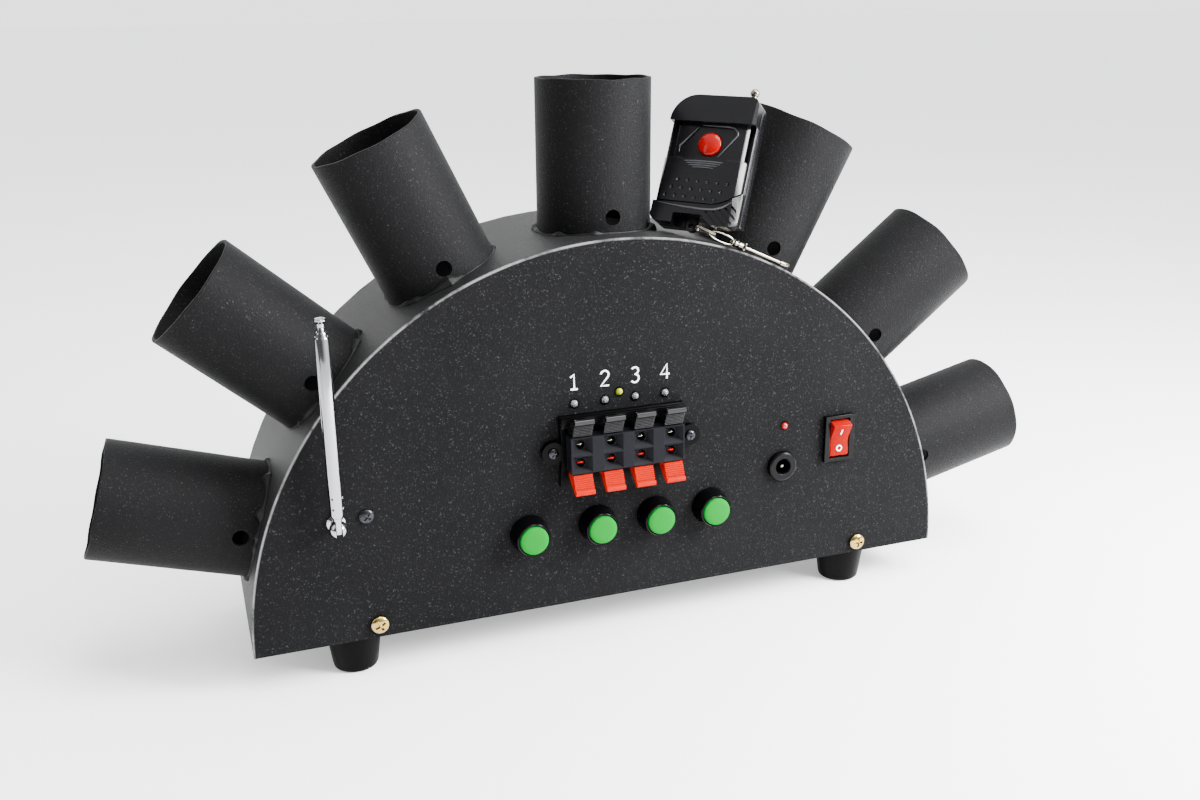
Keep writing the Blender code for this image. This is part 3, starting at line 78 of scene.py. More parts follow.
# Barrels
BARREL_ANGLES = (163.1, 138.9, 115.0, 89.4, 62.5, 38.1, 13.4)
BARREL_SETBACK = 36.5 * MM
BARREL_RADIUS = 24.6 * MM
BARREL_WALL = 1.5 * MM
BARREL_LENGTH = 62.4 * MM
WIRE_HOLE_RADIUS = 3.3 * MM
WIRE_HOLE_HEIGHT = 6.6 * MM

FACE = Matrix.Translation((0.0, FRONT, FLOOR_OF_CASE)) @ Matrix.Rotation(QUARTER, 4, "X")
REAR = (
    Matrix.Translation((0.0, BACK, FLOOR_OF_CASE))
    @ Matrix.Rotation(math.pi, 4, "Z") @ Matrix.Rotation(QUARTER, 4, "X"))


# Shader building

class Value:
    """A shader socket that takes part in plain arithmetic."""

    def __init__(self, nodes, socket):
        self.nodes = nodes
        self.socket = socket

    def maths(self, operation, first, second):
        return self.nodes.node("ShaderNodeMath", {"operation": operation}, {0: first, 1: second})

    def __add__(self, other):
        return self.maths("ADD", self, other)

    def __sub__(self, other):
        return self.maths("SUBTRACT", self, other)

    def __mul__(self, other):
        return self.maths("MULTIPLY", self, other)

    __radd__ = __add__


class Nodes:
    """A node tree that is built one node at a time."""

    def __init__(self, tree):
        self.tree = tree

    def node(self, kind, settings=None, inputs=None, output=0):
        """Any node, with its settings set first and then its sockets."""
        made = self.tree.nodes.new(kind)
        for key, value in (settings or {}).items():
            setattr(made, key, value)
        for key, value in (inputs or {}).items():
            if isinstance(value, Value):
                self.tree.links.new(value.socket, made.inputs[key])
            else:
                made.inputs[key].default_value = value
        return Value(self, made.outputs[output])

    def between(self, value, low, high):
        """A soft step from 0 at low to 1 at high."""
        return self.node(
            "ShaderNodeMapRange", {"interpolation_type": "SMOOTHSTEP"},
            {"Value": value, "From Min": low, "From Max": high})


class Finish(Nodes):
    """One material: constants on the shader's own sockets, and nodes for what varies."""

    def __init__(self, name, colour, roughness, metallic=0.0, constants=None):
        self.material = bpy.data.materials.new(name)
        self.material.use_nodes = True
        super().__init__(self.material.node_tree)
        self.shader = self.tree.nodes["Principled BSDF"]
        self.shader.inputs["Base Color"].default_value = (*colour, 1.0)
        self.shader.inputs["Roughness"].default_value = roughness
        self.shader.inputs["Metallic"].default_value = metallic
        for socket, value in (constants or {}).items():
            self.shader.inputs[socket].default_value = value
        self.place = self.node("ShaderNodeTexCoord", output="Object")

    def noise(self, scale, detail=2.0, roughness=0.5, stretch=None):
        """Cloudy noise from 0 to 1, with scale in turns per metre."""
        place = self.place
        if stretch:
            place = self.node(
                "ShaderNodeVectorMath", {"operation": "MULTIPLY"}, {0: place, 1: stretch})
        return self.node(
            "ShaderNodeTexNoise", None,
            {"Vector": place, "Scale": scale, "Detail": detail, "Roughness": roughness})

    def mix(self, share, first, second):
        """A blend of two colours."""
        return self.node(
            "ShaderNodeMix", {"data_type": "RGBA"}, {0: share, 6: first, 7: second}, output=2)

    def feed(self, socket, value):
        """Drive one socket of the shader."""
        self.tree.links.new(value.socket, self.shader.inputs[socket])
        return self

    def bump(self, height, strength, depth):
        """Relief from a height."""
        relief = self.node(
            "ShaderNodeBump", None, {"Height": height, "Strength": strength, "Distance": depth})
        return self.feed("Normal", relief)


def shade(level, tint=(1.0, 1.0, 1.0)):
    """A colour of one grey level with a slight tint, opaque."""
    return (level * tint[0], level * tint[1], level * tint[2], 1.0)


# Finishes

COOL = (0.97, 0.98, 1.04)
DUST = 0.045
SCUFF = 0.07
# Colour and width of the pale line round a panel's arc: rubbed bare metal and a painted highlight
# of the edge
BARE_METAL_AND_HIGHLIGHT = 0.20
WORN_AND_LIT_EDGE_WIDTH = 1.0 * MM
FLOOR_GLOW = 0.45


def powder_coat(name, level, rim_wear_and_highlight, marks, gloss):
    """Black fine-textured powder coating with dust specks, faint scuffs and a pale rim, partly
    rubbed bare and partly a painted highlight.
    """
    made = Finish(name, (level, level, level), 0.55, constants={"Specular IOR Level": gloss})
    grain = made.noise(1150.0, 3.0, 0.75)
    cloud = made.noise(16.0, 3.0, 0.55)
    base = made.mix(cloud, shade(level * 0.65, COOL), shade(level * 1.35, COOL))
    speckle = made.between(made.noise(1450.0, 1.5), 0.60, 0.80)
    base = made.mix(speckle, base, shade(level * 6.0, COOL))
    dust = made.between(made.noise(430.0, 2.0, 0.6), 0.73, 0.80)
    rubbed = made.between(made.noise(9.0, 4.0, 0.6), 0.46, 0.70)
    base = made.mix(dust * rubbed * marks, base, shade(DUST))
    scratch = made.between(made.noise(26.0, 5.0, 0.75, (1.0, 1.0, 14.0)), 0.68, 0.73)
    base = made.mix(scratch * rubbed * marks * 0.5, base, shade(SCUFF))
    # Pale line round the arc: partly rubbed coating, partly a painted highlight of the edge
    if rim_wear_and_highlight:
        base = made.mix(edge_wear_and_highlight(made, rim_wear_and_highlight), base, shade(BARE_METAL_AND_HIGHLIGHT))
    made.feed("Base Color", base)
    made.feed("Roughness", 0.38 + grain * 0.22 + cloud * 0.08)
    return made.bump(grain, 0.75, 0.40 * MM).material


def edge_wear_and_highlight(made, share):
    """How far a panel's coating is rubbed off and painted with a highlight at the arc, from its
    distance to the arc's centre.
    """
    across = made.node("ShaderNodeSeparateXYZ", None, {0: made.place}, output="X")
    height = made.node("ShaderNodeSeparateXYZ", None, {0: made.place}, output="Z")
    up = height - FLOOR_OF_CASE
    radius = made.node("ShaderNodeMath", {"operation": "SQRT"}, {0: across * across + up * up})
    edge = made.between(radius, ARC_RADIUS - WORN_AND_LIT_EDGE_WIDTH, ARC_RADIUS - GAP)
    return edge * made.between(made.noise(60.0, 4.0, 0.7), 0.32, 0.56) * share


def rubber_finish():
    """Dull black rubber with a faint bloom."""
    constants = {"Specular IOR Level": 0.04}
    made = Finish("foot_rubber", (0.001, 0.001, 0.0011), 0.4, constants=constants)
    bloom = made.noise(220.0, 3.0, 0.6)
    made.feed("Base Color", made.mix(bloom, shade(0.0003), shade(0.0012)))
    made.feed("Roughness", 0.26 + bloom * 0.2)
    return made.bump(made.noise(900.0), 0.2, 0.1 * MM).material


def moulded(name, colour, roughness, drift=0.18, gloss=0.45, coat=0.0):
    """Moulded plastic with a faint drift in colour and a fine skin."""
    constants = {"Specular IOR Level": gloss, "Coat Weight": coat, "Coat Roughness": 0.08}
    made = Finish(name, colour, roughness, constants=constants)
    flow = made.noise(110.0, 3.0, 0.55)
    low = tuple(channel * (1 - drift) for channel in colour)
    high = tuple(min(1.0, channel * (1 + drift)) for channel in colour)
    made.feed("Base Color", made.mix(flow, (*low, 1.0), (*high, 1.0)))
    made.feed("Roughness", roughness - 0.05 + flow * 0.10)
    return made.bump(made.noise(2600.0, 2.0), 0.12, 0.05 * MM).material


def polished(name, colour, roughness):
    """Plated metal with faint drawing marks and haze."""
    made = Finish(name, colour, roughness, 1.0)
    haze = made.noise(160.0, 4.0, 0.6)
    drawn = made.noise(900.0, 2.0, 0.5, (1.0, 1.0, 0.05))
    low = tuple(channel * 0.86 for channel in colour)
    made.feed("Base Color", made.mix(haze, (*low, 1.0), (*colour, 1.0)))
    made.feed("Roughness", roughness + haze * 0.08)
    return made.bump(drawn, 0.08, 0.05 * MM).material


def lens(name, colour, glow, through, coat=0.5):
    """Clear or tinted lens plastic that lets some light through."""
    constants = {
        "Transmission Weight": through, "IOR": 1.49, "Emission Strength": glow,
        "Specular IOR Level": coat, "Coat Weight": coat, "Coat Roughness": 0.04}
    made = Finish(name, colour, 0.08, constants=constants)
    made.shader.inputs["Emission Color"].default_value = (*colour, 1.0)
    cloud = made.noise(500.0, 2.0)
    low = tuple(channel * 0.8 for channel in colour)
    made.feed("Base Color", made.mix(cloud, (*low, 1.0), (*colour, 1.0)))
    return made.material


def print_white():
    """Screen-printed white ink, a little uneven."""
    made = Finish("white_print", (0.85, 0.86, 0.9), 0.55)
    wear = made.between(made.noise(900.0, 3.0, 0.7), 0.30, 0.46)
    made.feed("Base Color", made.mix(wear, shade(0.45), (0.88, 0.89, 0.93, 1.0)))
    return made.material


def floor_finish():
    """Pale seamless studio floor."""
    constants = {"Specular IOR Level": 0.15, "Emission Strength": FLOOR_GLOW}
    made = Finish("studio_floor", (0.9, 0.9, 0.9), 0.6, constants=constants)
    made.shader.inputs["Emission Color"].default_value = shade(1.0)
    cloud = made.noise(3.0, 3.0)
    made.feed("Base Color", made.mix(cloud, shade(0.89), shade(0.92)))
    return made.material


LOOKS = {
    "panel_coat": powder_coat("panel_powder_coat", 0.0058, rim_wear_and_highlight=0.8, marks=0.5, gloss=0.02),
    "rim_coat": powder_coat("rim_powder_coat", 0.0060, rim_wear_and_highlight=0.0, marks=0.9, gloss=0.18),
    "barrel_coat": powder_coat("barrel_powder_coat", 0.0048, rim_wear_and_highlight=0.0, marks=0.6, gloss=0.05),
    "weld_coat": powder_coat("weld_powder_coat", 0.002, rim_wear_and_highlight=0.0, marks=0.2, gloss=0.2),
    "rubber": rubber_finish(),
    "brass": polished("yellow_zinc_plating", (0.44, 0.32, 0.11), 0.16),
    "black_screw": polished("black_screw_plating", (0.035, 0.035, 0.04), 0.25),
    "chrome": polished("chrome_plating", (0.40, 0.40, 0.42), 0.04),
    "nickel": polished("nickel_plating", (0.22, 0.20, 0.165), 0.05),
    "zinc": polished("zinc_plating", (0.55, 0.56, 0.58), 0.35),
    # Lighter black for the remote's raised lines and scoop ribs: a painted highlight along them
    "painted_highlight_black": moulded("painted_highlight_black_moulding", (0.030, 0.030, 0.034), 0.22, drift=0.2, gloss=0.5),
    # Near-black: the terminal plate's own black, and painted shade in the rings round the LEDs
    "black_and_painted_shade": moulded(
        "black_and_painted_shade_moulding", (0.0006, 0.0006, 0.0007), 0.30, drift=0.2, gloss=0.04),
    "black_plastic": moulded("black_moulding", (0.0012, 0.0012, 0.0014), 0.26, gloss=0.08),
    "gloss_black": moulded("glossy_black_moulding", (0.0012, 0.0012, 0.0015), 0.16, gloss=0.08),
    "satin_black": moulded(
        "satin_black_moulding", (0.0014, 0.0014, 0.002), 0.24, drift=0.2, gloss=0.34),
    "grey_plastic": moulded("grey_terminal_moulding", (0.0060, 0.0060, 0.0076), 0.42, gloss=0.04),
    "dark_plastic": moulded("dark_lever_moulding", (0.0038, 0.0038, 0.0046), 0.20, gloss=0.26),
    "red_plastic": moulded(
        "orange_red_moulding", (0.33, 0.0058, 0.0002), 0.34, drift=0.05, gloss=0.03),
    "key_red": moulded(
        "red_key_moulding", (0.24, 0.0002, 0.0001), 0.14, drift=0.05, gloss=0.2, coat=0.1),
    "green_plastic": moulded(
        "green_cap_moulding", (0.0001, 0.16, 0.015), 0.38, drift=0.05, gloss=0.01),
    "red_lens": lens("red_rocker_lens", (0.20, 0.0004, 0.0001), 0.14, through=0.0, coat=0.02),
    "clear_lens": lens("clear_led_lens", (0.86, 0.88, 0.88), 0.0, through=0.85),
    "yellow_lens": lens("yellow_led_lens", (0.38, 0.42, 0.001), 0.16, through=0.3),
    "led_red": lens("red_led_lens", (0.45, 0.001, 0.001), 0.12, through=0.3),
    "battery_wrap": moulded("battery_sleeve", (0.02, 0.04, 0.14), 0.4),
    "board_green": moulded("board_mask", (0.01, 0.10, 0.035), 0.4),
    "print": print_white(),
    "floor": floor_finish(),
}


# Mesh building

WELD_DISTANCE = 0.001 * MM


def in_mm(*points):
    """Points given in millimetres, in metres."""
    return [tuple(value * MM for value in point) for point in points]


def from_bmesh(work):
    """A welded mesh from a bmesh, with its faces turned outwards."""
    bmesh.ops.remove_doubles(work, verts=work.verts, dist=WELD_DISTANCE)
    bmesh.ops.recalc_face_normals(work, faces=work.faces)
    mesh = bpy.data.meshes.new("work")
    work.to_mesh(mesh)
    work.free()
    return mesh


def evaluated(shape):
    """The plain welded mesh of a temporary curve or mesh object."""
    bpy.context.scene.collection.objects.link(shape)
    bpy.context.view_layer.update()
    graph = bpy.context.evaluated_depsgraph_get()
    mesh = bpy.data.meshes.new_from_object(shape.evaluated_get(graph))
    bpy.data.objects.remove(shape, do_unlink=True)
    work = bmesh.new()
    work.from_mesh(mesh)
    bpy.data.meshes.remove(mesh)
    return from_bmesh(work)


def turned(profile, steps=ROUND_STEPS, closed=False):
    """A profile of radius and height turned about Z."""
    work = bmesh.new()
    line = [work.verts.new((radius, 0.0, height)) for radius, height in profile]
    edges = [work.edges.new(pair) for pair in zip(line, line[1:])]
    if closed:
        edges.append(work.edges.new((line[-1], line[0])))
    bmesh.ops.spin(
        work, geom=line + edges, axis=(0, 0, 1), cent=(0, 0, 0), angle=2 * math.pi, steps=steps,
        use_merge=True)
    return from_bmesh(work)


def arc(radius, start, end, steps, centre=(0.0, 0.0)):
    """Points on an arc, both ends included."""
    turns = [start + (end - start) * i / steps for i in range(steps + 1)]
    return [(centre[0] + radius * math.cos(t), centre[1] + radius * math.sin(t)) for t in turns]


def circle(radius, steps=32, centre=(0.0, 0.0)):
    """Points round a circle."""
    return arc(radius, 0.0, 2 * math.pi * (steps - 1) / steps, steps - 1, centre)


def box_outline(width, height, centre=(0.0, 0.0)):
    """Corners of a rectangle."""
    signs = ((-1, -1), (1, -1), (1, 1), (-1, 1))
    return [(centre[0] + sx * width / 2, centre[1] + sy * height / 2) for sx, sy in signs]


def rounded(corners, steps=6):
    """An outline whose corners, each x, y and radius, are rounded."""
    points = []
    count = len(corners)
    for i, (x, y, radius) in enumerate(corners):
        here = Vector((x, y))
        before = (Vector(corners[i - 1][:2]) - here).normalized()
        after = (Vector(corners[(i + 1) % count][:2]) - here).normalized()
        half = before.angle(after) / 2
        centre = here + (before + after).normalized() * (radius / math.sin(half))
        start = here + before * (radius / math.tan(half)) - centre
        end = here + after * (radius / math.tan(half)) - centre
        first = math.atan2(start.y, start.x)
        sweep = math.atan2(end.y, end.x) - first
        sweep = (sweep + math.pi) % (2 * math.pi) - math.pi
        points += arc(radius, first, first + sweep, steps, (centre.x, centre.y))
    return points


def slab(outline, low, high, holes=()):
    """A flat outline with holes, filled between two levels of Z."""
    curve = bpy.data.curves.new("slab", "CURVE")
    curve.dimensions = "2D"
    curve.fill_mode = "BOTH"
    curve.extrude = (high - low) / 2
    for loop in (outline, *holes):
        spline = curve.splines.new("POLY")
        spline.points.add(len(loop) - 1)
        for point, (x, y) in zip(spline.points, loop):
            point.co = (x, y, 0.0, 1.0)
        spline.use_cyclic_u = True
    mesh = evaluated(bpy.data.objects.new("slab", curve))
    mesh.transform(Matrix.Translation((0.0, 0.0, (low + high) / 2)))
    return mesh


def pipe(points, radius, closed=False, radii=None, sides=4):
    """A round wire along points, with an optional share of its radius at each."""
    curve = bpy.data.curves.new("pipe", "CURVE")
    curve.dimensions = "3D"
    curve.bevel_depth = radius
    curve.bevel_resolution = sides
    curve.use_fill_caps = not closed
    spline = curve.splines.new("POLY")
    spline.points.add(len(points) - 1)
    for i, (point, place) in enumerate(zip(spline.points, points)):
        point.co = (*place, 1.0)
        point.radius = radii[i] if radii else 1.0
    spline.use_cyclic_u = closed
    return evaluated(bpy.data.objects.new("pipe", curve))


def block(low, high):
    """A box between two corners."""
    low, high = Vector(low), Vector(high)
    work = bmesh.new()
    place = Matrix.Translation((low + high) / 2) @ Matrix.Diagonal((*(high - low), 1.0))
    bmesh.ops.create_cube(work, size=1.0, matrix=place)
    return from_bmesh(work)


def ball(radius, centre, steps=12):
    """A small sphere."""
    work = bmesh.new()
    place = Matrix.Translation(centre)
    bmesh.ops.create_uvsphere(
        work, u_segments=steps, v_segments=steps // 2, radius=radius, matrix=place)
    return from_bmesh(work)


def rod(radius, start, end, steps=24):
    """A cylinder between two points."""
    start, end = Vector(start), Vector(end)
    along = end - start
    turn = along.to_track_quat("Z", "Y").to_matrix().to_4x4()
    work = bmesh.new()
    bmesh.ops.create_cone(
        work, cap_ends=True, segments=steps, radius1=radius, radius2=radius, depth=along.length,
        matrix=Matrix.Translation((start + end) / 2) @ turn)
    return from_bmesh(work)


def sliced(mesh, first, second, third):
    """A mesh cut off at a plane through three points, keeping what lies behind it."""
    first, second, third = Vector(first), Vector(second), Vector(third)
    work = bmesh.new()
    work.from_mesh(mesh)
    everything = work.verts[:] + work.edges[:] + work.faces[:]
    cut = bmesh.ops.bisect_plane(
        work, geom=everything, dist=0.0000001, plane_co=first,
        plane_no=(second - first).cross(third - first), clear_outer=True)
    rim = [item for item in cut["geom_cut"] if isinstance(item, bmesh.types.BMEdge)]
    bmesh.ops.holes_fill(work, edges=rim, sides=0)
    return from_bmesh(work)


def moved(mesh, place):
    """The mesh itself, moved by a matrix or to a place."""
    mesh.transform(place if isinstance(place, Matrix) else Matrix.Translation(place))
    return mesh


def gathered(*meshes):
    """Several meshes in one, left separate."""
    work = bmesh.new()
    for mesh in meshes:
        work.from_mesh(mesh)
    made = bpy.data.meshes.new("gathered")
    work.to_mesh(made)
    work.free()
    return made


def combined(mesh, tool, operation="DIFFERENCE"):
    """A mesh with another cut out of it or joined to it."""
    target = bpy.data.objects.new("target", mesh)
    other = bpy.data.objects.new("tool", tool)
    bpy.context.scene.collection.objects.link(other)
    change = target.modifiers.new("Change", "BOOLEAN")
    change.operation = operation
    change.solver = "EXACT"
    change.object = other
    made = evaluated(target)
    bpy.data.objects.remove(other, do_unlink=True)
    return made


def softened(mesh, width, segments=2, angle=35.0):
    """A mesh with its sharp edges rounded."""
    target = bpy.data.objects.new("target", mesh)
    bevel = target.modifiers.new("Edges", "BEVEL")
    bevel.width = width
    bevel.segments = segments
    bevel.limit_method = "ANGLE"
    bevel.angle_limit = math.radians(angle)
    bevel.harden_normals = False
    return evaluated(target)


def from_node(name, width, segments=2, angle=35.0):
    """A welded copy of a frame node's mesh with flat faces whole and edges rounded."""
    work = bmesh.new()
    work.from_mesh(frame["nodes"][name].data)
    bmesh.ops.remove_doubles(work, verts=work.verts, dist=2 * WELD_DISTANCE)
    bmesh.ops.dissolve_limit(
        work, angle_limit=math.radians(1.0), verts=work.verts, edges=work.edges)
    return softened(from_bmesh(work), width, segments, angle)


def piece(name, mesh, look, body, place, nodes, sharp=32.0):
    """One visible piece that rides on a body and may stand for frame nodes."""
    level = [
        face.index for face in mesh.polygons
        if max(abs(side) for side in face.normal) > SQUARE_ON]
    if place is not None:
        moved(mesh, place)
    mesh.name = name
    mesh.shade_smooth()
    mesh.set_sharp_from_angle(angle=math.radians(sharp))
    for index in level:
        mesh.polygons[index].use_smooth = False
    mesh.materials.clear()
    mesh.materials.append(LOOKS[look])
    made = bpy.data.objects.new(name, mesh)
    bpy.context.scene.collection.objects.link(made)
    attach(made, body)
    if nodes:
        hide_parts(*nodes)


def dress(node, look):
    """Give a frame node that stays in view its finish."""
    for holder in frame["nodes"][node].material_slots:
        holder.material = LOOKS[look]


def joint(name):
    """One joint of the frame."""
    return next(j for j in frame["joints"] if j["name"] == name)


def middle(node):
    """Middle of a frame node's box."""
    low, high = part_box(node)
    return (low + high) / 2


def on_face(node):
    """Middle of a frame node in the front panel's own X and Y."""
    spot = FACE.inverted() @ middle(node)
    return spot.x, spot.y


# Case

CHANNELS = (1, 2, 3, 4)
LED_INSET = 3.4 * MM
LED_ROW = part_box("led_board")[0].z + LED_INSET - FLOOR_OF_CASE
READY_LED = (-0.8 * MM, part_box("led_board")[1].z - LED_INSET - FLOOR_OF_CASE)
LED_RADIUS = 1.5 * MM
LED_ROOM = 0.6 * MM
BUTTON_HOLE_RADIUS = 5.9 * MM
INLET_HOLE_RADIUS = 5.8 * MM
SWITCH_HOLE = (13.0 * MM, 20.8 * MM)


def terminal_columns():
    """X of the four terminal columns."""
    return [middle(f"red_lever_{i}").x for i in CHANNELS]


def led_places():
    """Middles of the four channel LEDs, the ready LED and the charge LED."""
    return [(x, LED_ROW) for x in terminal_columns()] + [READY_LED, on_face("charge_led")]


def front_sheet():
    """Half-round front panel with its holes and softly broken edges."""
    holes = [circle(LED_RADIUS + LED_ROOM, 24, place) for place in led_places()]
    holes += [circle(BUTTON_HOLE_RADIUS, 32, on_face(f"button_cap_{i}")) for i in CHANNELS]
    holes.append(circle(INLET_HOLE_RADIUS, 32, on_face("dc_pin")))
    holes.append(box_outline(*SWITCH_HOLE, on_face("switch_frame")))
    sheet = softened(slab(arc(ARC_RADIUS, 0.0, math.pi, 160), -SHEET, 0.0, holes), 0.25 * MM)
    piece("front_sheet", sheet, "panel_coat", "case", FACE, ["front_panel"])


def rear_sheet():
    """Back panel with its two screw holes under the screw heads."""
    sheet = from_node("back_panel", 0.25 * MM, 2, 50.0)
    piece("rear_sheet", sheet, "panel_coat", "case", None, ["back_panel"])


def rim_sheet():
    """Smooth sheet bent round the arc."""
    low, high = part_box("rim_band")
    outline = arc(ARC_RADIUS, 0.0, math.pi, 180) + arc(ARC_RADIUS - SHEET, math.pi, 0.0, 180)
    sheet = softened(slab(outline, FRONT - high.y, FRONT - low.y), 0.2 * MM, 1)
    piece("rim_sheet", sheet, "rim_coat", "case", FACE, ["rim_band"])


# Barrels and their welds

BARREL_STEPS = 96
STRAIGHT_START = 14.0 * MM
MOUTH_WAVES = (2, 3, 5, 9)
MOUTH_LIP = 0.3 * MM
MOUTH_EDGE = 0.25 * MM
WELD_STEPS = 150
WELD_LUMPS = 13
WELD_RIPPLES = 13
WELD_OUT = 0.2 * MM
WELD_LIFT = 0.1 * MM
WELD_RADIUS = 1.0 * MM


def barrel_frame(angle):
    """Frame at the arc's centre with Z out along the barrel and Y to the back."""
    turn = Matrix.Rotation(QUARTER - math.radians(angle), 4, "Y")
    return Matrix.Translation((0.0, FRONT + BARREL_SETBACK, FLOOR_OF_CASE)) @ turn


def saddle_height(x, clearance):
    """Height over the arc's centre of its surface, at a sideways offset from the barrel's axis."""
    return math.sqrt((ARC_RADIUS + clearance) ** 2 - x * x)


def barrel_tube(number):
    """Open tube cut to the arc, with a hand-sawn mouth and its wire hole."""
    dice = random.Random(number)
    waves = [(dice.uniform(0, 6.28), dice.uniform(0.05, 0.16) * MM, k) for k in MOUTH_WAVES]
    work = bmesh.new()
    rings = []
    for radius, side in ((BARREL_RADIUS, -1), (BARREL_RADIUS - BARREL_WALL, 1)):
        foot, low, top, lip = [], [], [], []
        grow = 1 + side * MOUTH_EDGE / radius
        for i in range(BARREL_STEPS):
            turn = 2 * math.pi * i / BARREL_STEPS
            x, y = radius * math.cos(turn), radius * math.sin(turn)
            uneven = sum(size * math.sin(k * turn + shift) for shift, size, k in waves)
            end = ARC_RADIUS + BARREL_LENGTH - MOUTH_LIP + uneven
            foot.append(work.verts.new((x, y, saddle_height(x, GAP))))
            low.append(work.verts.new((x, y, ARC_RADIUS + STRAIGHT_START)))
            top.append(work.verts.new((x, y, end - MOUTH_LIP)))
            lip.append(work.verts.new((x * grow, y * grow, end)))
        rings.append((foot, low, top, lip))
    outer, inner = rings
    chain = [*outer, *reversed(inner), outer[0]]
    for first, second in zip(chain, chain[1:]):
        for i in range(BARREL_STEPS):
            j = (i + 1) % BARREL_STEPS
            work.faces.new((first[i], first[j], second[j], second[i]))
    hole = ARC_RADIUS + WIRE_HOLE_HEIGHT
    ends = [(0.0, share * BARREL_RADIUS, hole) for share in (-1.5, -0.5)]
    drill = rod(WIRE_HOLE_RADIUS, *ends, 40)
    return softened(combined(from_bmesh(work), drill), 0.12 * MM, 1, 50.0)


def weld_bead(number):
    """Lumpy coated weld round a barrel's foot."""
    dice = random.Random(50 + number)
    lumps = [
        (dice.uniform(0, 2 * math.pi), dice.uniform(0.04, 0.14), dice.uniform(0.6, 1.7))
        for _ in range(WELD_LUMPS)]
    radius = BARREL_RADIUS + WELD_OUT
    points, radii = [], []
    for i in range(WELD_STEPS):
        turn = 2 * math.pi * i / WELD_STEPS
        x, y = radius * math.cos(turn), radius * math.sin(turn)
        points.append((x, y, saddle_height(x, WELD_LIFT)))
        thick = 0.42 + 0.1 * math.sin(WELD_RIPPLES * turn + number) + dice.uniform(-0.05, 0.05)
        for spot, width, size in lumps:
            away = math.remainder(turn - spot, 2 * math.pi)
            thick += size * math.exp(-(away / width) ** 2)
        radii.append(thick)
    return pipe(points, WELD_RADIUS, True, radii, 2)


def barrels():
    """The seven barrels and the welds at their feet."""
    for number, angle in enumerate(BARREL_ANGLES, 1):
        place = barrel_frame(angle)
        piece(
            f"spark_barrel_{number}", barrel_tube(number), "barrel_coat", "case", place,
            [f"barrel_{number}"])
        piece(
            f"weld_bead_{number}", weld_bead(number), "weld_coat", "case", place, ())


# Feet and screws

FOOT_TAPER = 2.0 * MM
FOOT_ROUND = 1.2 * MM
CASE_SCREW = (2.4 * MM, 1.9 * MM, 4.5 * MM)
SCREW_DOME = (0.25, 0.5, 0.8, 1.1, 1.35)


def feet():
    """Tapered rubber feet with a rounded lower edge."""
    for name in ("foot_front_left", "foot_front_right", "foot_back_left", "foot_back_right"):
        low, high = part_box(name)
        wide = (high.x - low.x) / 2
        narrow = wide - FOOT_TAPER
        top = FLOOR_OF_CASE - GAP
        profile = [(0.0, top), (wide - 0.3 * MM, top), (wide, top - 0.3 * MM)]
        profile += [(wide, top - 1.6 * MM), (narrow + 0.25 * MM, 2.2 * MM)]
        for r, z in arc(FOOT_ROUND, 0.15, QUARTER, 5):
            profile.append((narrow - FOOT_ROUND + r, FOOT_ROUND - z))
        profile += [(narrow - 3.0 * MM, 0.0), (0.0, 0.0)]
        centre = (low + high) / 2
        place = Matrix.Translation((centre.x, centre.y, 0.0))
        piece(f"rubber_{name}", turned(profile), "rubber", "case", place, [name])


def cross_recess(width, arm, depth):
    """Cutter for the cross in a screw head, with its mouth at Z 0."""
    bars = []
    for turn in (0.0, QUARTER):
        bar = block((-arm, -width / 2, -depth), (arm, width / 2, depth))
        bars.append(moved(bar, Matrix.Rotation(turn, 4, "Z")))
    return combined(*bars, "UNION")


def pan_head(radius, height, shank, length, turn):
    """A cross-head pan screw, its seat at Z 0, with its cross turned."""
    profile = [(0.0, height)]
    for t in SCREW_DOME:
        profile.append((radius * math.sin(t), height * (0.35 + 0.65 * math.cos(t))))
    profile += [(radius, height * 0.30), (radius, 0.1 * MM), (radius - 0.1 * MM, 0.0)]
    profile += [(shank, 0.0), (shank, -length), (0.0, -length)]
    recess = cross_recess(radius * 0.26, radius * 0.62, height * 0.62)
    moved(recess, Matrix.Translation((0.0, 0.0, height)) @ Matrix.Rotation(turn, 4, "Z"))
    return softened(combined(turned(profile, 40), recess), 0.06 * MM, 1, 50.0)


def case_screws():
    """Yellow zinc screws low on both panels."""
    for index, name in enumerate(("front_left", "front_right", "back_left", "back_right")):
        node = f"case_screw_{name}"
        low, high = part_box(node)
        side = FACE if "front" in name else REAR
        spot = side.inverted() @ ((low + high) / 2)
        place = side @ Matrix.Translation((spot.x, spot.y, GAP))
        screw = pan_head((high.x - low.x) / 2, *CASE_SCREW, 0.5 + index)
        piece(f"pan_screw_{name}", screw, "brass", "case", place, [node])


# Push terminal, in the panel's frame

STEP_HALF_WIDTH = 27.6 * MM
STEP_HEIGHT = 1.2 * MM
STEP_BOTTOM = 2.0 * MM
STEP_DROPS_AND_TOPS = ((3.6 * MM, 4.4 * MM), (5.0 * MM, 3.7 * MM))
STEP_GAP = (4.6 * MM, 8.2 * MM)
EAR_SCREW = (2.3 * MM, 1.4 * MM, 1.3 * MM, 3.0 * MM)
EAR_SCREW_X = 31.2 * MM
EAR_SCREW_SEAT = 3.0 * MM
BLADE_HALF = (1.5 * MM, 0.5 * MM, 0.15 * MM)
BLADE_OFFSET = (-0.5 * MM, 0.2 * MM)
BLADE_AWAY = 4.0 * MM
BLADE_TOP = 7.2 * MM
BLADE_LEAN = math.radians(24.0)
LEVER_RIBS = 7
LEVER_RIB_SHAPE = ((0.06, 0.0), (0.34, 0.40), (0.56, 0.40), (0.84, 0.0))


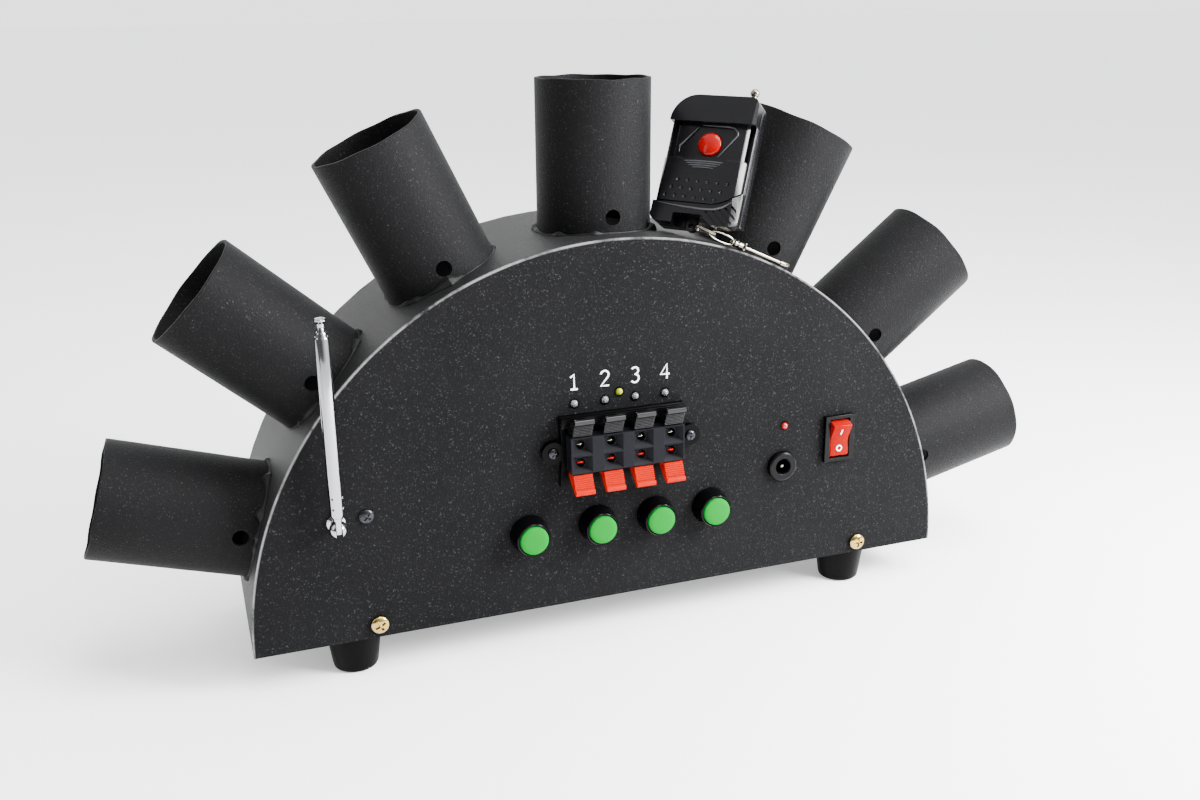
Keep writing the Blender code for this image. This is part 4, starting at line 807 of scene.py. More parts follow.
def terminal():
    """Base, block, levers, contacts and ear screws."""
    base = from_node("terminal_base", 0.15 * MM)
    piece("terminal_plate", base, "black_and_painted_shade", "case", None, ["terminal_base"])
    body = from_node("terminal_block", 0.12 * MM)
    piece("terminal_body", body, "grey_plastic", "case", None, ["terminal_block"])
    x, y, _ = FACE.inverted() @ middle("terminal_block")
    steps = terminal_steps(x)
    piece("terminal_steps", steps, "gloss_black", "case", FACE, ())
    for i in CHANNELS:
        lever(f"red_lever_{i}", "red_plastic")
        lever(f"black_lever_{i}", "dark_plastic")
    piece("contact_blades", blades(y + BLADE_AWAY), "nickel", "case", FACE, ())
    piece("contact_guards", blades(y - BLADE_AWAY), "key_red", "case", FACE, ())
    for name, side in (("left", -1), ("right", 1)):
        screw = pan_head(*EAR_SCREW, 0.4 + side)
        place = FACE @ Matrix.Translation((x + side * EAR_SCREW_X, y, EAR_SCREW_SEAT))
        piece(f"terminal_screw_{name}", screw, "black_screw", "case", place, ())


def terminal_steps(centre):
    """Two fine steps along the top of the base, parted beside each column."""
    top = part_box("terminal_base")[1].z - FLOOR_OF_CASE
    steps = []
    for drop, out in STEP_DROPS_AND_TOPS:
        step = block(
            (centre - STEP_HALF_WIDTH, top - drop, STEP_BOTTOM),
            (centre + STEP_HALF_WIDTH, top - drop + STEP_HEIGHT, out))
        for x in terminal_columns():
            step = combined(step, block(
                (x + STEP_GAP[0], 0.0, out - 0.5 * MM), (x + STEP_GAP[1], 1.0, 9.0 * MM)))
        steps.append(softened(step, 0.12 * MM))
    return gathered(*steps)


def blades(height):
    """Four leaning blades at one height over the floor of the case."""
    made = []
    for x in terminal_columns():
        spot = Matrix.Translation((x + BLADE_OFFSET[0], height + BLADE_OFFSET[1], BLADE_TOP))
        blade = block([-half for half in BLADE_HALF], BLADE_HALF)
        made.append(moved(blade, spot @ Matrix.Rotation(BLADE_LEAN, 4, "X")))
    return gathered(*made)


def lever_side():
    """Side view of a lever about its pivot: X away from the block's middle, Y outwards."""
    start, end = Vector((-1.35, 4.4)), Vector((4.2, 7.0))
    along = (end - start).normalized()
    out = Vector((-along.y, along.x))
    face = [start]
    for rib in range(LEVER_RIBS):
        for share, rise in LEVER_RIB_SHAPE:
            face.append(start + (end - start) * ((rib + share) / LEVER_RIBS) + out * rise)
    lip = [(4.45, 6.9), (4.6, 8.1), (5.0, 8.5), (6.0, 8.5), (6.55, 8.1), (6.75, 6.5)]
    nose = arc(1.5, 3 * QUARTER + 0.5, QUARTER + 0.6, 8)
    return in_mm(*face, *lip, *nose)


def lever(name, look):
    """One ribbed push lever on its joint's axis, the red ones pointing down."""
    low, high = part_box(name)
    half = (high.x - low.x) / 2
    mesh = softened(slab(lever_side(), -half, half), 0.06 * MM, 1, 40.0)
    pivot = Vector(joint(f"{name}_press")["pos_m"])
    up = -1.0 if name.startswith("red") else 1.0
    turn = Matrix(((0, 0, up, 0), (0, -1, 0, 0), (up, 0, 0, 0), (0, 0, 0, 1)))
    place = Matrix.Translation((middle(name).x, pivot.y, pivot.z)) @ turn
    piece(f"{name}_moulding", mesh, look, name, place, [name], 25.0)


# Lights

LED_STRIP_DEPTH = 1.9 * MM
LED_DEPTH = 1.7 * MM
DOME_TURNS = (0, 0.3, 0.6, 0.9, 1.2, QUARTER)
# Inner and outer radius of the near-black rings that paint the shade in the gaps round the LEDs
SHADE_RING = (LED_RADIUS + 0.08 * MM, LED_RADIUS + 0.80 * MM)


def lights():
    """LEDs in their holes, near-black rings of painted shade round them and the strip that carries
    them.
    """
    strip = from_node("led_board", 0.05 * MM, 1)
    for vertex in strip.vertices:
        vertex.co.y = max(vertex.co.y, FRONT + LED_STRIP_DEPTH)
    piece("led_strip", strip, "board_green", "case", None, ["led_board"])
    profile = [
        (LED_RADIUS * math.sin(t), 0.1 * MM + LED_RADIUS * math.cos(t)) for t in DOME_TURNS]
    profile += [(LED_RADIUS, -LED_DEPTH), (0.0, -LED_DEPTH)]
    places = [(x, y, 0.0) for x, y in led_places()]
    looks = [(f"channel_led_{i}", "clear_lens") for i in CHANNELS] + [("ready_led", "yellow_lens")]
    for (name, look), place in zip(looks, places):
        led = turned(profile, 24)
        piece(name, led, look, "case", FACE @ Matrix.Translation(place), ())
    # Near-black rings round the LEDs: painted shade in the gaps of their holes
    inner, outer = SHADE_RING
    ring = [(inner, -1.0 * MM), (inner, 0.25 * MM), (outer, 0.12 * MM), (outer, -1.0 * MM)]
    rings = [moved(turned(ring, 32, True), place) for place in places]
    piece("led_shade_rings", gathered(*rings), "black_and_painted_shade", "case", FACE, ())
    place = FACE @ Matrix.Translation(places[-1])
    led = turned(profile, 24)
    piece("charge_led_lens", led, "led_red", "case", place, ["charge_led"])


# Buttons, inlet and switch

COLLAR_BASE = 8.5 * MM
COLLAR_MOUTH = 7.3 * MM
COLLAR_THREAD = 5.7 * MM
COLLAR_DEPTH = 15.0 * MM
WELL_RADIUS = 6.5 * MM
WELL_DEPTH = 4.4 * MM
STEM_HOLE = 2.5 * MM
STEM_RADIUS = 2.2 * MM
STEM_DEPTH = 7.5 * MM
CAP_RADIUS = 6.2 * MM
CAP_HEIGHT = 2.2 * MM
INLET_RADIUS = 7.0 * MM
INLET_BORE = 3.6 * MM
INLET_BORE_DEPTH = 9.5 * MM
INLET_BARREL = 5.6 * MM
INLET_DEPTH = 12.0 * MM
PIN_HOLE = 1.4 * MM
PIN_RADIUS = 1.1 * MM
PIN_DEPTH = 15.0 * MM
ROCKER_TILT = math.radians(11.0)
MARK_PLACE = (4.2 * MM, 3.74 * MM)
MARK_SLOPE = math.atan2(1.6, 6.0)
MARK_THICK = 0.05 * MM
ON_MARK = (0.6 * MM, 3.0 * MM)
OFF_MARK_RADII = (1.5 * MM, 1.0 * MM)


def collar(top):
    """A button's collar with the well for its cap, from its height over the panel."""
    well = top - WELL_DEPTH
    profile = [(WELL_RADIUS, well), (WELL_RADIUS, top - 0.3 * MM), (WELL_RADIUS + 0.2 * MM, top)]
    profile += [(COLLAR_MOUTH - 0.35 * MM, top), (COLLAR_MOUTH, top - 0.35 * MM)]
    profile += [(COLLAR_BASE, 1.2 * MM), (COLLAR_BASE, GAP), (COLLAR_THREAD, GAP)]
    profile += [(COLLAR_THREAD, -COLLAR_DEPTH), (STEM_HOLE, -COLLAR_DEPTH), (STEM_HOLE, well)]
    return turned(profile, closed=True)


def button_cap(top):
    """A button's flat cap with its stem, from its height over the panel."""
    rim = CAP_RADIUS
    profile = [(0.0, top), (rim * 0.6, top - 0.05 * MM), (rim - 0.5 * MM, top - 0.25 * MM)]
    profile += [(rim - 0.12 * MM, top - 0.5 * MM), (rim, top - 0.9 * MM), (rim, top - CAP_HEIGHT)]
    profile += [(STEM_RADIUS, top - CAP_HEIGHT), (STEM_RADIUS, -STEM_DEPTH), (0.0, -STEM_DEPTH)]
    return turned(profile)


def buttons():
    """Green caps in glossy black collars."""
    for i in CHANNELS:
        ring, cap = f"button_collar_{i}", f"button_cap_{i}"
        place = FACE @ Matrix.Translation((*on_face(cap), 0.0))
        mesh = collar(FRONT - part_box(ring)[0].y)
        piece(f"collar_{i}", mesh, "gloss_black", "case", place, [ring])
        mesh = button_cap(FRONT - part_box(cap)[0].y)
        piece(f"green_cap_{i}", mesh, "green_plastic", cap, place, [cap])


def inlet():
    """Round power inlet with its bright pin."""
    place = FACE @ Matrix.Translation((*on_face("dc_pin"), 0.0))
    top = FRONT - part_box("dc_inlet")[0].y
    floor = top - INLET_BORE_DEPTH
    profile = [(INLET_BORE, floor), (INLET_BORE, top - 0.3 * MM), (INLET_BORE + 0.3 * MM, top)]
    profile += [(INLET_RADIUS - 0.9 * MM, top), (INLET_RADIUS - 0.3 * MM, top - 0.3 * MM)]
    profile += [(INLET_RADIUS, top - 0.9 * MM), (INLET_RADIUS, GAP), (INLET_BARREL, GAP)]
    profile += [(INLET_BARREL, -INLET_DEPTH), (PIN_HOLE, -INLET_DEPTH), (PIN_HOLE, floor)]
    body = turned(profile, closed=True)
    piece("inlet_body", body, "black_plastic", "case", place, ["dc_inlet"])
    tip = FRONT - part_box("dc_pin")[0].y
    profile = [(0.0, tip), (0.6 * MM, tip - 0.15 * MM), (1.0 * MM, tip - 0.6 * MM)]
    profile += [(PIN_RADIUS, tip - 1.0 * MM), (PIN_RADIUS, -PIN_DEPTH), (0.0, -PIN_DEPTH)]
    piece("inlet_pin", turned(profile, 32), "nickel", "case", place, ["dc_pin"])


def switch():
    """Black frame, red rocker and its white I and O."""
    bezel = from_node("switch_frame", 0.2 * MM)
    piece("switch_bezel", bezel, "black_plastic", "case", None, ["switch_frame"])
    paddle = from_node("power_rocker", 0.35 * MM, 3)
    piece("rocker_paddle", paddle, "red_lens", "power_rocker", None, ["power_rocker"])
    pivot = Vector(joint("power_rocker_switch")["pos_m"])
    face = Matrix.Translation(pivot) @ Matrix.Rotation(QUARTER, 4, "X")
    face @= Matrix.Rotation(ROCKER_TILT, 4, "X")
    outer, inner = OFF_MARK_RADII
    marks = {
        "rocker_mark_on": (1, box_outline(*ON_MARK), ()),
        "rocker_mark_off": (-1, circle(outer), (circle(inner),))}
    for name, (side, outline, holes) in marks.items():
        spot = Matrix.Translation((0.0, side * MARK_PLACE[0], MARK_PLACE[1]))
        place = face @ spot @ Matrix.Rotation(side * MARK_SLOPE, 4, "X")
        mark = slab(outline, 0.0, MARK_THICK, holes)
        piece(name, mark, "print", "power_rocker", place, ())


# Antenna

FORK_BALL = 3.7 * MM
FORK_NECK = 2.2 * MM
FORK_DEPTH = 3.8 * MM
FORK_SLOT_HALF = 1.3 * MM
FORK_PIN = (0.7 * MM, 2.9 * MM)
ANTENNA_RADII = (2.85 * MM, 2.15 * MM, 1.45 * MM, 0.75 * MM)
MAST_FOOT = (4.2 * MM, 5.6 * MM, 6.6 * MM, 8.0 * MM)
CRIMP_HEIGHTS = (9.5 * MM, 14.0 * MM)
CRIMP_TURNS = (-2.2, -0.5, 1.6)
TONGUE_HALF = (2.3 * MM, 1.0 * MM)
TONGUE_TOP = 5.4 * MM
TIP_RADIUS = 2.3 * MM
TIP_SHAPE = ((0.5, 0.05), (0.85, 0.3), (1, 0.8), (1, 1.2), (0.85, 1.6), (0.62, 2.3))
ANTENNA_SCREW = (3.0 * MM, 1.6 * MM, 1.3 * MM, 3.0 * MM)
ANTENNA_SCREW_PLACE = (-110.5 * MM, 55.2 * MM, 0.1 * MM)


def antenna_fork(out):
    """Ball fork with its flange and the pin across its slot, at the pin's height over the panel."""
    lowest = -math.acos(FORK_NECK / FORK_BALL)
    profile = [(0.0, out + FORK_BALL)] + arc(FORK_BALL, QUARTER, lowest, 16, (0.0, out))[1:]
    profile += [(FORK_NECK, 1.6 * MM), (FORK_BALL, 1.3 * MM), (FORK_BALL, GAP), (FORK_NECK, GAP)]
    profile += [(FORK_NECK, -FORK_DEPTH), (0.0, -FORK_DEPTH)]
    half = FORK_SLOT_HALF
    slot = block((-half, -8.0 * MM, out - 2.9 * MM), (half, 8.0 * MM, out + 8.0 * MM))
    fork = softened(combined(turned(profile, 48), slot), 0.15 * MM)
    radius, reach = FORK_PIN
    return gathered(fork, rod(radius, (-reach, 0.0, out), (reach, 0.0, out)))


def antenna_mast(top):
    """Outer tube with its crimps, and the tongue that the fork's pin goes through."""
    rim, bore = ANTENNA_RADII[0], ANTENNA_RADII[1] + GAP
    foot, waist, shoulder, floor = MAST_FOOT
    profile = [(0.0, floor), (bore, floor), (bore, top - 0.6 * MM), (bore - 0.2 * MM, top)]
    profile += [(rim - 0.35 * MM, top), (rim, top - 0.9 * MM), (rim, shoulder)]
    profile += [(rim - 0.5 * MM, waist), (1.9 * MM, foot), (0.0, foot)]
    mast = turned(profile, 48)
    for height in CRIMP_HEIGHTS:
        for turn in CRIMP_TURNS:
            spot = (rim * math.cos(turn), rim * math.sin(turn), height)
            mast = combined(mast, ball(0.55 * MM, spot))
    wide, thick = TONGUE_HALF
    outline = [(wide, 0.0), (wide, TONGUE_TOP), (-wide, TONGUE_TOP), (-wide, 0.0)]
    outline += arc(wide, math.pi, 2 * math.pi, 16)[1:-1]
    tongue = slab(outline, -thick, thick, (circle(1.0 * MM, 24),))
    moved(tongue, Matrix(((0, 0, 1, 0), (1, 0, 0, 0), (0, 1, 0, 0), (0, 0, 0, 1))))
    return combined(mast, softened(tongue, 0.12 * MM), "UNION")


def antenna():
    """Telescopic antenna on its ball fork, and the screw beside it."""
    pin = Vector(joint("antenna_fold")["pos_m"])
    upright = Matrix.Translation(pin)
    outwards = Matrix.Translation((pin.x, FRONT, pin.z)) @ Matrix.Rotation(QUARTER, 4, "X")
    fork = antenna_fork(FRONT - pin.y)
    piece("ball_fork", fork, "chrome", "antenna_fork", outwards, ["antenna_fork"])
    tubes = ("antenna_mast", "antenna_section_1", "antenna_section_2")
    tops = [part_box(name)[1].z - pin.z for name in tubes]
    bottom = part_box("antenna_section_1")[0].z - pin.z
    mast = antenna_mast(tops[0])
    piece("antenna_tube", mast, "chrome", "antenna_mast", upright, ["antenna_mast"])
    for index, name in enumerate(tubes[1:], 1):
        rim, bore, top = ANTENNA_RADII[index], ANTENNA_RADII[index + 1] + GAP, tops[index]
        profile = [(bore, bottom), (bore, top - 0.3 * MM), (bore + 0.1 * MM, top)]
        profile += [(rim - 0.25 * MM, top), (rim, top - 0.5 * MM), (rim, bottom)]
        tube = turned(profile, 40, closed=True)
        piece(f"{name}_tube", tube, "chrome", name, upright, [name])
    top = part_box("antenna_tip")[1].z - pin.z
    seat = tops[2] + GAP
    profile = [(0.0, top)] + [(TIP_RADIUS * r, top - drop * MM) for r, drop in TIP_SHAPE]
    profile += [(profile[-1][0], seat), (ANTENNA_RADII[3], seat), (ANTENNA_RADII[3], bottom)]
    tip = turned(profile + [(0.0, bottom)], 40)
    piece("antenna_cap", tip, "chrome", "antenna_tip", upright, ["antenna_tip"])
    place = FACE @ Matrix.Translation(ANTENNA_SCREW_PLACE)
    screw = pan_head(*ANTENNA_SCREW, 0.9)
    piece("antenna_screw", screw, "black_screw", "case", place, ())


# Remote transmitter, in its own frame: X across, Y along, Z out of its face

LUG_HOLE = (-2.7 * MM, 1.2 * MM, 3.4 * MM)
LUG_DEPTHS = (2.0 * MM, 4.8 * MM)
LUG_EYE = 1.2 * MM
REMOTE_LENGTH = 56.4 * MM
REMOTE_TOP = 38.2 * MM
REMOTE_BOTTOM = 38.6 * MM
REMOTE_THICK = 13.0 * MM
BIG_CORNER = 11.6 * MM
CORNER = 3.5 * MM
CUT_CORNER = 0.3 * MM
HALF_SPLIT = 6.0 * MM
FRONT_START = HALF_SPLIT + GAP
DECK_WIDTH = 32.6 * MM
DECK_TOP = 9.8 * MM
RECESS_DEPTHS = (9.25 * MM, 10.6 * MM)
HEAD_START = 44.6 * MM
TAIL_END = 8.8 * MM
TAIL_TOP = 12.4 * MM
TAIL_GROOVES = 5
RAIL_SIDES = (18.62 * MM, 19.02 * MM)
RAIL_TOP = 8.6 * MM
FOOT_CURVE = (6.0 * MM, 25.2 * MM)
FOOT_CURVE_RADIUS = 16.1 * MM
KEY_PLACE = (0.0, 35.8 * MM)
KEY_HOLE_RADIUS = 5.4 * MM
KEY_RADIUS = 5.1 * MM
KEY_RIM = 10.1 * MM
KEY_FOOT = 7.1 * MM
COVER_ROOF_HALF = 16.6 * MM
SCOOP_RADIUS = 12.5 * MM
SCOOP_DEPTH = 0.9 * MM
SCOOP_RIBS = (27.4, 26.5, 25.6, 24.7)
SCOOP_RIB_REACH = 12.1
DIMPLES = [
    (-9.7 - 2.25 * row + 4.46 * column, 18.6 - 3.55 * row - 0.16 * column)
    for row in range(3) for column in range(6)]
DIMPLE_RADIUS = 0.95 * MM
DIMPLE_LIFT = 0.28 * MM
WHIP_X, WHIP_Z = 13.0 * MM, 3.8 * MM
WHIP_BORE = 1.3 * MM
WHIP_RADIUS = 1.0 * MM
WHIP_START = 12.0 * MM
WHIP_BALL = 2.0 * MM
ALONG = Matrix.Rotation(-QUARTER, 4, "X")


def remote_axes():
    """The remote's frame, from the axes of its cover, its key and its ring."""
    along = Vector(joint("slide_cover_open")["axis"]).normalized()
    out = -Vector(joint("remote_key_press")["axis"]).normalized()
    across = along.cross(out).normalized()
    turn = Matrix((across, along, out)).transposed().to_4x4()
    lug = Vector(joint("key_ring_swing")["pos_m"])
    return Matrix.Translation(lug) @ turn @ Matrix.Translation(-Vector(LUG_HOLE))


REMOTE = remote_axes()


def remote_width(y):
    """Width of the tapered case at a height along it."""
    return REMOTE_BOTTOM + (REMOTE_TOP - REMOTE_BOTTOM) * y / REMOTE_LENGTH


def remote_corners(low, high):
    """Corners of a stretch of the case, with the case's own round corners at its ends."""
    foot = CORNER if low <= 0.0 else CUT_CORNER
    right, left = (CORNER, BIG_CORNER) if high >= REMOTE_LENGTH else (CUT_CORNER, CUT_CORNER)
    bottom, top = remote_width(low) / 2, remote_width(high) / 2
    return [(-bottom, low, foot), (bottom, low, foot), (top, high, right), (-top, high, left)]


def node_range(node, axis):
    """Lowest and highest value of a frame node along one of the remote's axes."""
    back = REMOTE.inverted()
    values = [(back @ v.co)[axis] for v in frame["nodes"][node].data.vertices]
    return min(values), max(values)


def flank(x, z, end_x, end_z, lean=0.0):
    """Three points of a plane that takes off a long edge, from x, z to end_x, end_z."""
    side = math.copysign(1, x)
    first, second = in_mm((x, 0.0, z), (end_x, 0.0, end_z))
    third = ((x + side * lean) * MM, REMOTE_LENGTH, z * MM)
    return (first, second, third) if side > 0 else (first, third, second)


def ring_notch():
    """Cutter for the opening in the lower edge that the key ring hangs in."""
    corners = in_mm((-9.0, -1.0, 0.1), (9.8, -1.0, 0.1), (3.2, 4.2, 1.6), (-9.0, 4.2, 0.8))
    return slab(rounded(corners), -1.0 * MM, 14.0 * MM)


def remote_case():
    """Back half of the remote, with the lug of its ring and the collar of its antenna."""
    back = slab(rounded(remote_corners(0.0, REMOTE_LENGTH), 12), 0.0, HALF_SPLIT)
    back = combined(softened(back, 0.45 * MM, 3, 60.0), ring_notch())
    back = combined(back, block(*in_mm((-9.0, -2.0, -1.0), (20.0, 2.2, 6.4))))
    back = combined(back, block(*in_mm((-9.4, 0.0, 0.0), (-5.3, 4.6, 5.4))), "UNION")
    outline = in_mm((-5.0, -1.3, 1.9), (-0.4, -1.3, 1.9), (-0.4, 5.0, 0.2), (-5.0, 5.0, 0.2))
    lug = slab(rounded(outline), *LUG_DEPTHS, (circle(LUG_EYE, 24, LUG_HOLE[:2]),))
    back = combined(back, softened(lug, 0.2 * MM), "UNION")
    rim = turned(in_mm((0.0, 1.8), (1.9, 1.8), (2.4, 1.2), (2.4, -3.0), (0.0, -3.0)), 32)
    moved(rim, Matrix.Translation((WHIP_X, REMOTE_LENGTH, WHIP_Z)) @ ALONG)
    bore = rod(WHIP_BORE, (WHIP_X, 11.7 * MM, WHIP_Z), (WHIP_X, 80.0 * MM, WHIP_Z))
    back = combined(combined(back, rim, "UNION"), bore)
    piece(
        "remote_rear_shell", back, "satin_black", "remote", REMOTE, ["remote_back"])


def remote_head():
    """Smooth cap over the top of the remote, with a slanted right flank."""
    head = slab(rounded(remote_corners(HEAD_START, REMOTE_LENGTH), 14), FRONT_START, REMOTE_THICK)
    return softened(sliced(head, *flank(16.0, 13.0, 19.2, 10.6, 2.2)), 0.9 * MM, 3, 20.0)


def remote_tail():
    """Foot of the front half, curved at the right where the cover ends, with slanting grooves."""
    radius = FOOT_CURVE_RADIUS + GAP
    wide = REMOTE_BOTTOM / 2
    outline = arc(CORNER, 2 * QUARTER, 3 * QUARTER, 8, (CORNER - wide, CORNER))
    outline += arc(CORNER, 3 * QUARTER, 4 * QUARTER, 8, (wide - CORNER, CORNER))
    right = -math.acos((wide - 0.1 * MM - FOOT_CURVE[0]) / radius)
    outline += arc(radius, right, -QUARTER, 16, FOOT_CURVE) + [(0.1 * MM - wide, TAIL_END)]
    tail = sliced(slab(outline, FRONT_START, TAIL_TOP), *flank(16.4, 12.4, 19.3, 9.6))
    tail = softened(tail, 0.55 * MM, 3, 20.0)
    slant = Matrix.Rotation(math.radians(48.0), 4, "Z")
    for i in range(TAIL_GROOVES):
        groove = block(*in_mm((-0.42, -4.6, 11.5 if i < 3 else 10.7), (0.42, 4.6, 14.0)))
        spot = Matrix.Translation(((8.7 + 2.7 * i) * MM, (2.8 + 0.8 * i) * MM, 0.0))
        tail = combined(tail, moved(groove, spot @ slant))
    return tail


def remote_ridges():
    """Raised lines round the key's recess and along the tail, and the rails at both sides."""
    ridges = []
    for path in (
            [(-4.6, 43.9), (7.6, 43.9), (9.9, 43.3), (11.5, 41.6), (11.6, 40.2), (4.7, 30.3)],
            [(-6.5, 43.0), (-13.3, 34.4), (-13.2, 31.6)]):
        line = [(x, y, DECK_TOP + 0.1 * MM) for x, y in in_mm(*path)]
        ridges.append(pipe(line, 0.46 * MM, False, [0.5] + [1.0] * (len(line) - 2) + [0.5]))
    lip = in_mm((-17.0, 8.2), (-6.4, 7.0), (4.0, 6.6), (8.7, 6.9), (12.5, 8.2), (15.9, 10.6))
    line = [(x, y, TAIL_TOP - 0.05 * MM) for x, y in lip]
    ridges.append(pipe(line, 0.42 * MM, False, [0.4, 1, 1, 1, 1, 0.4]))
    inner, outer = RAIL_SIDES
    for side in (-1, 1):
        rail = block((inner, TAIL_END, FRONT_START), (outer, HEAD_START, RAIL_TOP))
        ridges.append(softened(moved(rail, Matrix.Diagonal((side, 1.0, 1.0, 1.0))), 0.1 * MM, 1))
    return gathered(*ridges)


def remote_front():
    """Front half: head, deck with the recess round the key, notch and the grooved tail."""
    middle_of_deck = (0.0, HEAD_START / 2 + TAIL_END / 2)
    outline = box_outline(DECK_WIDTH, HEAD_START, middle_of_deck)
    deck = slab(outline, FRONT_START, DECK_TOP)
    for side in (1, -1):
        deck = sliced(deck, *flank(side * 15.0, 9.8, side * 16.6, 8.0))
    corners = in_mm(
        (9.8, 44.0, 2.0), (11.9, 40.8, 1.6), (4.6, 30.2, 1.0), (-13.2, 30.6, 0.8),
        (-13.4, 35.0, 1.2), (-6.4, 44.0, 0.8))
    shell = combined(softened(deck, 0.2 * MM), slab(rounded(corners), *RECESS_DEPTHS))
    for part in (remote_head(), remote_tail()):
        shell = combined(shell, part, "UNION")
    hole = rod(KEY_HOLE_RADIUS, (*KEY_PLACE, HALF_SPLIT), (*KEY_PLACE, REMOTE_THICK), 48)
    shell = combined(combined(shell, hole), ring_notch())
    piece(
        "remote_front_shell", shell, "satin_black", "remote", REMOTE, ["remote_front"])
    # The raised lines and rails are drawn in a lighter black: a painted highlight along them
    piece(
        "remote_front_ridges", remote_ridges(), "painted_highlight_black", "remote", REMOTE, ())


def cover_shell():
    """Sliding cover with slanted flanks, a curved right foot, a scoop and rows of dimples."""
    low, high = node_range("slide_cover", 1)
    outer = node_range("slide_cover", 0)[1]
    inner, top = COVER_ROOF_HALF, REMOTE_THICK
    right = [(inner, 6.8 * MM), (outer, 6.8 * MM), (outer, top - 2.2 * MM), (outer - 2.0 * MM, top)]
    left = [(-x, z) for x, z in reversed(right)]
    roof = [(-inner, top - 1.2 * MM), (inner, top - 1.2 * MM)]
    half = (high - low) / 2
    shell = slab(right + left + roof, -half, half)
    across = Matrix.Rotation(QUARTER, 4, "X")
    moved(shell, Matrix.Translation((0.0, (low + high) / 2, 0.0)) @ across)
    shell = softened(shell, 0.22 * MM, 2, 30.0)
    foot = arc(FOOT_CURVE_RADIUS, -QUARTER, math.radians(-20), 20, FOOT_CURVE)
    foot += [(25.0 * MM, foot[-1][1]), (25.0 * MM, 2.0 * MM), (FOOT_CURVE[0], 2.0 * MM)]
    shell = combined(shell, slab(foot, 5.0 * MM, 14.0 * MM))
    scoop = slab(circle(SCOOP_RADIUS, 72, KEY_PLACE), top - SCOOP_DEPTH, 14.0 * MM)
    shell = combined(shell, scoop)
    for x, y in in_mm(*DIMPLES):
        shell = combined(shell, ball(DIMPLE_RADIUS, (x, y, top + DIMPLE_LIFT), 16))
    return shell


def slide_cover():
    """Sliding cover and the fine ribs in its thumb scoop."""
    piece(
        "slide_cover_shell", cover_shell(), "satin_black", "slide_cover", REMOTE,
        ["slide_cover"])
    ribs = []
    for y in SCOOP_RIBS:
        reach = math.sqrt(SCOOP_RIB_REACH ** 2 - (KEY_PLACE[1] / MM - y) ** 2)
        line = in_mm(*[(t * reach, y - 0.3 * t * t) for t in (-1, -0.5, 0, 0.5, 1)])
        ribs.append(pipe([(*spot, REMOTE_THICK - SCOOP_DEPTH) for spot in line], 0.30 * MM))
    # The scoop ribs are drawn in a lighter black: a painted highlight along them
    piece(
        "slide_cover_ribs", gathered(*ribs), "painted_highlight_black", "slide_cover", REMOTE, ())


def remote_key():
    """Glossy red domed key."""
    rise = node_range("remote_key", 2)[1] - KEY_RIM
    profile = [
        (KEY_RADIUS * math.sin(t), KEY_RIM + rise * math.cos(t))
        for t in (0, 0.2, 0.45, 0.7, 0.95, 1.2, 1.4, QUARTER)]
    profile += [(KEY_RADIUS, KEY_FOOT), (0.0, KEY_FOOT)]
    place = REMOTE @ Matrix.Translation((*KEY_PLACE, 0.0))
    piece("red_key", turned(profile), "key_red", "remote_key", place, ["remote_key"])


def remote_whip():
    """Slim pull-out antenna with a ball tip."""
    centre = node_range("remote_whip", 1)[1] - WHIP_BALL
    seat = centre - WHIP_BALL - 0.9 * MM
    profile = [
        (WHIP_BALL * math.sin(t), centre + WHIP_BALL * math.cos(t))
        for t in [2.55 * i / 18 for i in range(19)]]
    profile += [(WHIP_RADIUS, seat), (WHIP_RADIUS, WHIP_START), (0.0, WHIP_START)]
    place = REMOTE @ Matrix.Translation((WHIP_X, 0.0, WHIP_Z)) @ ALONG
    whip = turned(profile, 32)
    piece("whip_antenna", whip, "nickel", "remote_whip", place, ["remote_whip"])


# Key ring and snap hook, each in a frame with X along the chain

RING_RADIUS = 5.8 * MM
RING_WIRE = 0.42 * MM
RING_STEPS = 80
RING_DROP = math.radians(13.0)
HOOK_TURN = (math.radians(13.3), math.radians(50.8), math.radians(7.8))
NECK_START = 9.4 * MM
NECK = (
    (0, 0), (1.1, 0), (1.6, 0.4), (1.6, 1.2), (1, 1.5), (1, 1.9), (1.7, 2.2), (1.7, 4.2), (0, 4.4))
SHACKLE_CENTRE = 3.2 * MM
SHACKLE_HALF = (6.2 * MM, 1.8 * MM)
SHACKLE_STEPS = 40
SHOULDER = 13.6 * MM
HOOK_BEND = 34.6 * MM
HOOK_HALF = 3.2 * MM
GATE_PIVOT = (14.7 * MM, 0.0, 2.6 * MM)
GATE_REACH = 17.6


def chain():
    """Split ring, hook with its shackle and swivel, and the sprung gate."""
    ring = REMOTE @ Matrix.Translation(LUG_HOLE) @ Matrix.Rotation(-RING_DROP, 4, "Z")
    hook = ring @ Matrix.Translation((2 * RING_RADIUS, 0.0, 0.0))
    hook @= Euler(HOOK_TURN).to_matrix().to_4x4()
    points = []
    for i in range(RING_STEPS + 1):
        share = i / RING_STEPS
        x, z = 1 - math.cos(4 * math.pi * share), math.sin(4 * math.pi * share)
        points.append((RING_RADIUS * x, (share - 0.5) * MM, RING_RADIUS * z))
    strands = pipe(points, RING_WIRE)
    piece("split_ring", strands, "nickel", "key_ring", ring, ["key_ring"])
    piece("hook_body", hook_body(), "nickel", "snap_hook", hook, ["snap_hook"])
    line = in_mm((-0.4, 0.0, 0.0), (GATE_REACH * 0.5, 0.0, 0.5), (GATE_REACH, 0.0, 0.6))
    gate = gathered(pipe(line, 0.75 * MM, False, None, 6), ball(0.8 * MM, line[-1]))
    place = hook @ Matrix.Translation(GATE_PIVOT)
    piece("gate_spring", gate, "nickel", "hook_gate", place, ["hook_gate"])


